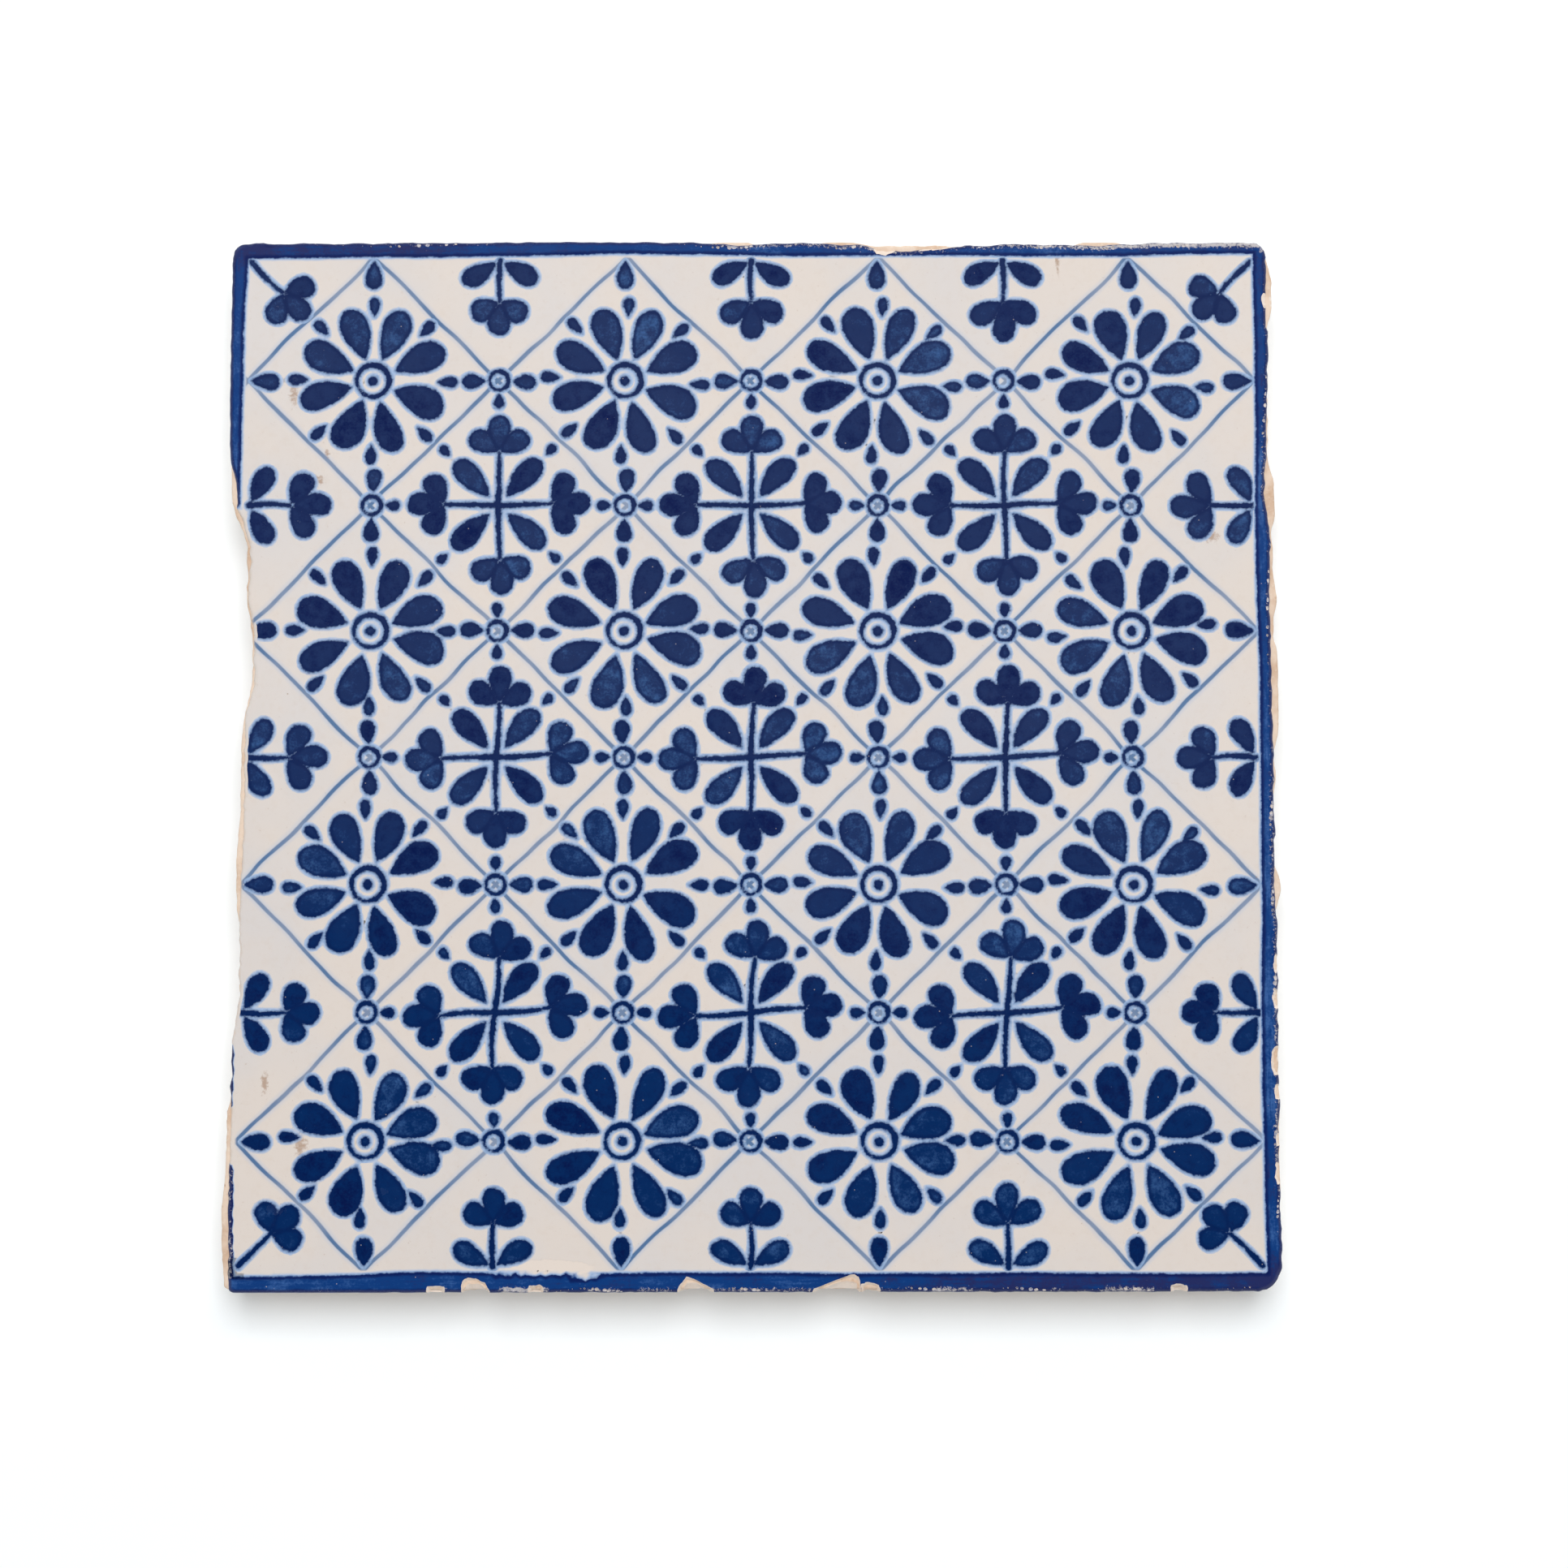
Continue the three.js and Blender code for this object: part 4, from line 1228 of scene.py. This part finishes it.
def trellis(w, place):
    """Masks of the thin diagonal lines that lattice the field, and of the blue that bleeds from them."""
    x, y, _ = w.split(place)
    drift = w.total((w.noise(place, 7, 1), TRELLIS_DRIFT), (w.noise(place, 0.5, 1), TRELLIS_SHAKE))
    shift_x = w.total((x, 1), (drift, 1), (-FIELD_X - (TRELLIS_DRIFT + TRELLIS_SHAKE) / 2, 1))
    shift_y = w.total((y, 1), (-FIELD_Y, 1))
    turns = []
    for operation in ("ADD", "SUBTRACT"):
        repeats = w.math("DIVIDE", w.math(operation, shift_x, shift_y), PITCH)
        turns.append(w.math("ABSOLUTE", w.math("SUBTRACT", w.math("FRACT", repeats), 0.5)))
    away = w.math("MULTIPLY", w.least(*turns), PITCH / math.sqrt(2))
    inside = w.least(
        w.total((x, 1), (-FIELD_LEFT, 1)), w.total((x, -1), (FIELD_RIGHT, 1)),
        w.total((y, 1), (-FIELD_BOTTOM, 1)), w.total((y, -1), (FIELD_TOP, 1)),
    )
    pressure = w.ramp(w.noise(place, 7, 2), 0.3, 0.7, 0.7, 1)
    kept = w.math("MULTIPLY", pressure, w.ramp(inside, -0.1, 0.3))
    line = w.math("MULTIPLY", kept, w.ramp(away, 0.34, 0.14, 0, 0.95))
    return line, w.math("MULTIPLY", kept, w.ramp(away, 0.85, 0.15, 0, 0.4))


def cobalt_stroke(name):
    """Cobalt in and under the glaze: a soft pale bleed, a ragged body, dark pooled edges and white pits."""
    w, given, result = new_group(
        name,
        {"Place": "Vector", "Grain": "Vector", "Depth": "Float", "Edge": "Float", "Load": "Float",
         "Ground": "Color", "Ground roughness": "Float", "Ground height": "Float", "Cobalt": "Color",
         "Deep": "Color", "Pool": "Color", "Thin": "Color", "Bleed": "Color"},
        SURFACE,
    )
    place, depth = given["Place"], given["Depth"]
    # The body of the stroke ends in a ragged line, and a thin fringe and a pale bleed run on from it
    ragged = w.total((depth, 1), (w.noise(place, 1.2, 3, 0.6), 0.55), (w.noise(place, 0.35, 2), 0.3),
                     (-0.425, 1))
    body = w.ramp(ragged, -0.12, 0.12)
    fringe = w.ramp(ragged, -0.36, 0.0, 0, 0.5)
    bled = w.ramp(w.total((depth, 1), (w.noise(place, 1.8, 3), 0.6), (-0.3, 1)), -0.74, -0.06, 0, 0.95)
    colour = w.blend(bled, given["Ground"], given["Bleed"])
    colour = w.blend(fringe, colour, given["Thin"])

    # Tone follows how heavily it was painted, and the paint pools just inside its edge
    grain = w.noise(given["Grain"], 1, 4, 0.62)
    edge = w.total((given["Edge"], 1), (w.noise(place, 0.9, 2), 0.3), (-0.15, 1))
    pooled = w.math("MULTIPLY", w.ramp(edge, -0.05, 0.14), w.ramp(edge, 0.62, 0.24, 0, 0.9))
    fine = w.noise(place, 0.3, 3, 0.65)
    tone = w.total((given["Load"], 1), (grain, 0.95), (w.noise(place, 6, 2), 0.5), (fine, 0.5), (-0.95, 1))
    paint = w.blend(w.ramp(tone, -0.05, 0.5), given["Thin"], given["Cobalt"])
    paint = w.blend(w.ramp(tone, 0.55, 1.05), paint, given["Deep"])
    paint = w.blend(pooled, paint, given["Pool"])
    colour = w.blend(body, colour, paint)

    pits = w.math("MULTIPLY", w.spots(place, 0.95, 0.14, 0.04, 0.1), body)
    colour = w.blend(w.math("MULTIPLY", pits, 0.4), colour, given["Ground"])
    w.feed(result["Color"], colour)
    roughness = w.total((given["Ground roughness"], 1), (w.math("MULTIPLY", grain, body), 0.12))
    w.feed(result["Roughness"], roughness)
    crust = w.math("MULTIPLY", w.noise(place, 0.28, 3, 0.6), body)
    w.feed(result["Height"], w.total((given["Ground height"], 1), (crust, 0.008), (pits, -0.02)))
    return w.tree


def clay_grain(name):
    """Fired clay: soft patches, sandy grains and open pores."""
    inputs = {"Place": "Vector", "Base": "Color", "Dark": "Color", "Pale": "Color"}
    w, given, result = new_group(name, inputs, SURFACE)
    place = given["Place"]
    patches = w.ramp(w.noise(place, 5, 4, 0.6), 0.42, 0.72, 0, 0.7)
    colour = w.blend(patches, given["Base"], given["Dark"])
    fine = w.noise(place, 0.45, 5, 0.68)
    colour = w.blend(w.ramp(fine, 0.5, 0.75, 0, 0.6), colour, given["Pale"])
    sand = w.spots(place, 0.75, 0.3, 0.1, 0.3)
    colour = w.blend(w.math("MULTIPLY", sand, 0.45), colour, given["Dark"])
    pores = w.spots(place, 1.7, 0.35, 0.05, 0.16)
    colour = w.blend(w.math("MULTIPLY", pores, 0.6), colour, given["Dark"])
    w.feed(result["Color"], colour)
    w.feed(result["Roughness"], w.total((fine, 0.15), (0.8, 1)))
    height = w.total((fine, 0.11), (w.noise(place, 2.2, 3), 0.16), (sand, 0.02), (pores, -0.09))
    w.feed(result["Height"], height)
    return w.tree


def new_material(name):
    material = bpy.data.materials.new(name)
    material.use_nodes = True
    return material, Wiring(material.node_tree), material.node_tree.nodes["Principled BSDF"]


def finish_surface(w, shader, colour, roughness, height):
    """Joins a look to the material's shader. Heights are in millimetres."""
    bump = w.add("Bump", {"Height": height, "Distance": MM, "Strength": 1.0})
    w.feed(shader.inputs["Base Color"], colour)
    w.feed(shader.inputs["Roughness"], roughness)
    w.feed(shader.inputs["Normal"], bump.outputs[0])


def glazed_look(w, place, rim, colours):
    return w.group(
        glazed_face, place=place, rim=rim, warm=colours.glaze, cool=colours.glaze_cool,
        fresh=colours.glaze_fresh, thin=colours.glaze_edge, stain=colours.stain, line=colours.trellis,
        bleed=colours.halo,
    )


def painted_look(w, place, ground, bleed, **paint):
    return w.group(
        cobalt_stroke, place=place, depth=w.value("depth"), ground=ground["Color"],
        ground_roughness=ground["Roughness"], ground_height=ground["Height"], bleed=bleed, **paint,
    )


def clay_material(name, base, dark, colours):
    material, w, shader = new_material(name)
    clay = w.group(clay_grain, place=w.place(), base=base, dark=dark, pale=colours.fracture)
    finish_surface(w, shader, clay["Color"], clay["Roughness"], clay["Height"])
    return material


def build_biscuit(name, colours):
    return clay_material(name, colours.biscuit, colours.biscuit_dark, colours)


def build_broken(name, colours):
    return clay_material(name, colours.fracture, colours.biscuit, colours)


def build_broken_glaze(name, colours):
    """The white inside of the coat, where a nick doesn't reach the clay, with cobalt left in its hollows."""
    material, w, shader = new_material(name)
    fine = w.noise(w.place(), 0.3, 4, 0.65)
    colour = w.blend(w.ramp(fine, 0.4, 0.7), colours.glaze_cool, colours.glaze_edge)
    colour = w.blend(w.ramp(w.noise(w.place(), 0.7, 3), 0.4, 0.66, 0, 0.6), colour, colours.band_thin)
    finish_surface(w, shader, colour, 0.6, w.total((fine, 0.05)))
    return material


def build_glaze(name, colours):
    material, w, shader = new_material(name)
    look = glazed_look(w, w.place(), w.value("rim"), colours)
    finish_surface(w, shader, look["Color"], look["Roughness"], look["Height"])
    return material


def build_brushwork(name, colours):
    """Motifs inside the frame, far from the rim. They are greyer towards the top of the tile and deeper blue
    towards the bottom.
    """
    material, w, shader = new_material(name)
    place = w.place()
    ground = glazed_look(w, place, FAR_FROM_RIM, colours)
    height = w.total((w.split(place)[1], 1), (w.noise(place, 18, 2), 50), (-25, 1))
    cobalt = w.blend(w.ramp(height, -42, 20), colours.cobalt, colours.cobalt_grey)
    look = painted_look(
        w, place, ground, colours.halo, load=w.value("load"), edge=w.value("depth"),
        grain=w.stretched(place, 0.8, 0.8, 0.8), cobalt=cobalt, deep=colours.cobalt_deep,
        pool=w.blend(0.5, cobalt, colours.cobalt_deep), thin=colours.cobalt_thin,
    )
    finish_surface(w, shader, look["Color"], look["Roughness"], look["Height"])
    return material


def build_band(name, colours):
    """The frame, streaked along the brush, dark along both edges and flecked white along its outer one."""
    material, w, shader = new_material(name)
    place = w.place()
    ground = glazed_look(w, place, w.value("rim"), colours)
    streaks = w.add("CombineXYZ", {0: w.math("MULTIPLY", w.value("along"), 0.28),
                                   1: w.math("MULTIPLY", w.value("across"), 2.4)}).outputs[0]
    rim = w.value("rim")
    load = w.total((w.value("load"), 1), (w.noise(place, 2.4, 3, 0.6), 1), (-0.5, 1))
    look = painted_look(
        w, place, ground, colours.halo, load=load, grain=streaks, edge=w.least(w.value("depth"), rim),
        cobalt=colours.band, deep=colours.band_deep, pool=colours.band_edge, thin=colours.band_thin,
    )
    # Pale flecks along the outer edge, strongest on the arris, as strong as each side's table gives
    near_arris = w.math("MULTIPLY", w.ramp(rim, 1.15, 0.3), w.ramp(rim, -0.1, 0.25, 0.55, 1))
    pale_flecks = w.total((w.math("MULTIPLY", w.value("rub"), near_arris), 0.42), (w.noise(place, 0.4, 4, 0.7), 1))
    pale_flecks = w.ramp(pale_flecks, 0.72, 0.9, 0, 0.72)
    colour = w.blend(pale_flecks, look["Color"], colours.glaze_cool)
    roughness = w.total((look["Roughness"], 1), (pale_flecks, 0.3))
    finish_surface(w, shader, colour, roughness, w.total((look["Height"], 1), (pale_flecks, -0.02)))
    return material


def look_of(name, build):
    """A material that is built once and then shared."""
    return bpy.data.materials.get(name) or build(name, bpy.context.scene.tile_colours)


class TileOperator:
    """What the operators of this file share."""

    bl_options = {"REGISTER", "UNDO"}

    def execute(self, context):
        self.build(context.scene.tile_sizes)
        return {"FINISHED"}


class WALL_TILE_OT_clay_body(TileOperator, bpy.types.Operator):
    """Build the chipped slab of fired clay."""

    bl_idname = "wall_tile.clay_body"
    bl_label = "Clay body"

    def build(self, sizes):
        broken = look_of("broken_clay", build_broken)
        piece = new_object("biscuit_slab", clay_block(sizes), look_of("fired_clay", build_biscuit))
        cut_away(piece, chip_cutter(0, broken))
        shade(piece.data, CLAY_SHARP)
        finish_piece(piece, "biscuit", "clay_body")


class WALL_TILE_OT_tin_glaze(TileOperator, bpy.types.Operator):
    """Build the white coat, with its worn, nicked rim."""

    bl_idname = "wall_tile.tin_glaze"
    bl_label = "Tin glaze"

    def build(self, sizes):
        glaze = look_of("glaze_coat", build_glaze)
        block, outline = coat_block(sizes)
        piece = new_object("tin_glaze_coat", block, glaze)
        cut_away(piece, new_object("clay", clay_block(sizes), glaze))
        chip_and_nick(piece, 0)
        x, y, _ = mesh_places(piece.data)
        set_values(piece.data, "rim", outline.rim(x, y))
        shade(piece.data, GLAZE_SHARP)
        finish_piece(piece, "tin_glaze", "tin_glaze")


class WALL_TILE_OT_border(TileOperator, bpy.types.Operator):
    """Build the painted frame, one piece for each band that has survived."""

    bl_idname = "wall_tile.border"
    bl_label = "Painted frame"

    def build(self, sizes):
        band = look_of("cobalt_band", build_band)
        block, outline = coat_block(sizes)
        inner = HALF - 2 * SQUEEZE
        middle = [f for f in block.faces if max(abs(v) for v in f.calc_center_median().xy) < inner * MM]
        bmesh.ops.delete(block, geom=middle, context="FACES")
        for name in frame_parts(np.zeros(1), np.zeros(1), 0):
            piece = make_border(name, block, sizes, band)
            chip_and_nick(piece, BURIED)
            x, y, _ = mesh_places(piece.data)
            upright = name in ("border_right", "border_left_upper", "border_left_lower")
            depth = frame_depth(x, y)
            crispness = REMNANT_CRISPNESS if name == "border_left_lower" else 1
            values = {
                "depth": np.where(depth < 0, BAND_BLEED, 1) * crispness * depth,
                "load": side_value(BAND_LOAD, x, y),
                "rub": side_value(BAND_FLECKS, x, y),
                "rim": outline.rim(x, y),
                "along": y if upright else x,
                "across": x if upright else y,
            }
            for value, numbers in values.items():
                set_values(piece.data, value, numbers)
            shade(piece.data, GLAZE_SHARP)
            finish_piece(piece, "cobalt_border", name)
        block.free()


class WALL_TILE_OT_rosettes(TileOperator, bpy.types.Operator):
    """Paint a ring of petals in each repeat of the pattern."""

    bl_idname = "wall_tile.rosettes"
    bl_label = "Rosettes"

    def build(self, sizes):
        for row in range(1, REPEATS + 1):
            for column in range(1, REPEATS + 1):
                strokes = rosette_strokes(row, column)
                paint_motif(f"rosette_{row}_{column}", strokes, repeat_place(column, row), 0, sizes)


class WALL_TILE_OT_crosses(TileOperator, bpy.types.Operator):
    """Paint a leafy cross where four repeats meet."""

    bl_idname = "wall_tile.crosses"
    bl_label = "Crosses"

    def build(self, sizes):
        for row in range(1, REPEATS):
            for column in range(1, REPEATS):
                place = repeat_place(column + 0.5, row + 0.5)
                paint_motif(f"cross_{row}_{column}", cross_strokes(row, column), place, 0, sizes)


class WALL_TILE_OT_sprigs(TileOperator, bpy.types.Operator):
    """Paint a sprig on each side of the frame where two repeats meet."""

    bl_idname = "wall_tile.sprigs"
    bl_label = "Sprigs"

    def build(self, sizes):
        half = REPEATS * PITCH / 2
        for number in range(1, REPEATS):
            along = (number - REPEATS / 2) * PITCH
            starts = {
                "bottom": (along, -half, math.pi / 2),
                "right": (half, along, math.pi),
                "top": (along, half, -math.pi / 2),
                "left": (-half, along, 0),
            }
            for index, (side, (x, y, turn)) in enumerate(starts.items()):
                strokes = sprig_strokes(number * 4 + index)
                place = (FIELD_X + x, FIELD_Y + y)
                paint_motif(f"sprig_{side}_{number}", strokes, place, turn, sizes)


class WALL_TILE_OT_corner_sprigs(TileOperator, bpy.types.Operator):
    """Paint a sprig in each corner of the frame."""

    bl_idname = "wall_tile.corner_sprigs"
    bl_label = "Corner sprigs"

    def build(self, sizes):
        corners = {
            "bottom_left": (FIELD_LEFT, FIELD_BOTTOM, math.pi / 4),
            "bottom_right": (FIELD_RIGHT, FIELD_BOTTOM, 3 * math.pi / 4),
            "top_right": (FIELD_RIGHT, FIELD_TOP, -3 * math.pi / 4),
            "top_left": (FIELD_LEFT, FIELD_TOP, -math.pi / 4),
        }
        for index, (corner, (x, y, turn)) in enumerate(corners.items()):
            strokes = stem_strokes(CORNER_SPRIG["root"], CORNER_SPRIG["stem"], 20 + index)
            paint_motif("corner_sprig_" + corner, strokes, (x, y), turn, sizes)


class WALL_TILE_OT_stage(TileOperator, bpy.types.Operator):
    """Set up the white floor, the soft light and the camera over the tile."""

    bl_idname = "wall_tile.stage"
    bl_label = "Stage"

    def build(self, sizes):
        scene = bpy.context.scene
        stage = scene.tile_stage
        scene.view_settings.view_transform = "Standard"

        bm = bmesh.new()
        bmesh.ops.create_grid(bm, x_segments=1, y_segments=1, size=FLOOR_REACH)
        new_object("floor", bm, self.floor_material())

        light = bpy.data.lights.new("lamp", "AREA")
        light.energy = stage.lamp
        light.size = LAMP_SIZE
        lamp = bpy.data.objects.new("lamp", light)
        lamp.location = LAMP_PLACE
        lamp.rotation_euler = (-LAMP_PLACE).to_track_quat("-Z", "Y").to_euler()
        lamp.visible_glossy = False
        scene.collection.objects.link(lamp)

        camera = bpy.data.cameras.new("camera")
        camera.angle = stage.camera_field
        camera.clip_start = NEAREST_SEEN
        eye = bpy.data.objects.new("camera", camera)
        eye.location = stage.camera_place
        eye.rotation_euler = (stage.camera_tilt, 0, 0)
        scene.collection.objects.link(eye)
        scene.camera = eye
        self.make_sky(scene, stage)

    @staticmethod
    def floor_material():
        """White in the open, with the tile's shadow on it. The camera sees it a little cooler, and as plain
        white far off, so that side views have no horizon."""
        material, w, shader = new_material("white_floor")
        seen = w.add("LightPath", {}).outputs["Is Camera Ray"]
        away = w.add("VectorMath", {0: w.place()}, operation="LENGTH").outputs["Value"]
        w.feed(shader.inputs["Emission Color"], srgb(*GLOW_COLOUR))
        w.feed(shader.inputs["Emission Strength"], w.math("MULTIPLY", seen, w.ramp(away, *GLOW_RISE)))
        w.feed(shader.inputs["Base Color"], srgb(*FLOOR_COLOUR))
        w.feed(shader.inputs["Roughness"], 0.9)
        w.feed(shader.inputs["Specular IOR Level"], 0.0)
        return material

    @staticmethod
    def make_sky(scene, stage):
        """Even light from all round, dimmer overhead, where the camera stands in the way of it."""
        world = bpy.data.worlds.new("studio")
        world.use_nodes = True
        w = Wiring(world.node_tree)
        background = world.node_tree.nodes["Background"]
        up = w.split(w.add("TexCoord", {}).outputs["Generated"])[2]
        light = w.ramp(up, *SKY_HEIGHTS, *(share * stage.sky for share in SKY_SHARES))
        seen = w.add("LightPath", {}).outputs["Is Camera Ray"]
        strength = w.add("Mix", {0: seen, 2: light, 3: 1.0}).outputs[0]
        w.feed(background.inputs["Color"], (1, 1, 1))
        w.feed(background.inputs["Strength"], strength)
        scene.world = world


OPERATORS = (
    WALL_TILE_OT_clay_body,
    WALL_TILE_OT_tin_glaze,
    WALL_TILE_OT_border,
    WALL_TILE_OT_rosettes,
    WALL_TILE_OT_crosses,
    WALL_TILE_OT_sprigs,
    WALL_TILE_OT_corner_sprigs,
    WALL_TILE_OT_stage,
)


class VIEW3D_PT_wall_tile(bpy.types.Panel):
    """Builds the tile piece by piece."""

    bl_label = "Wall Tile"
    bl_space_type = "VIEW_3D"
    bl_region_type = "UI"
    bl_category = "Wall Tile"

    def draw(self, context):
        scene = context.scene
        for operator in OPERATORS:
            self.layout.operator(operator.bl_idname)
        for settings in (scene.tile_sizes, scene.tile_colours, scene.tile_stage):
            box = self.layout.box()
            for name in settings.__annotations__:
                box.prop(settings, name)


GROUPS = {"tile_sizes": TileSizes, "tile_colours": TileColours, "tile_stage": TileStage}


def register():
    for kind in (*GROUPS.values(), *OPERATORS, VIEW3D_PT_wall_tile):
        bpy.utils.register_class(kind)
    for name, kind in GROUPS.items():
        setattr(bpy.types.Scene, name, bpy.props.PointerProperty(type=kind))


def unregister():
    for name in GROUPS:
        delattr(bpy.types.Scene, name)
    for kind in (VIEW3D_PT_wall_tile, *reversed(OPERATORS), *reversed(GROUPS.values())):
        bpy.utils.unregister_class(kind)


def main():
    register()
    for operator in OPERATORS:
        getattr(bpy.ops.wall_tile, operator.bl_idname.split(".")[1])()


if __name__ == "__main__":
    main()
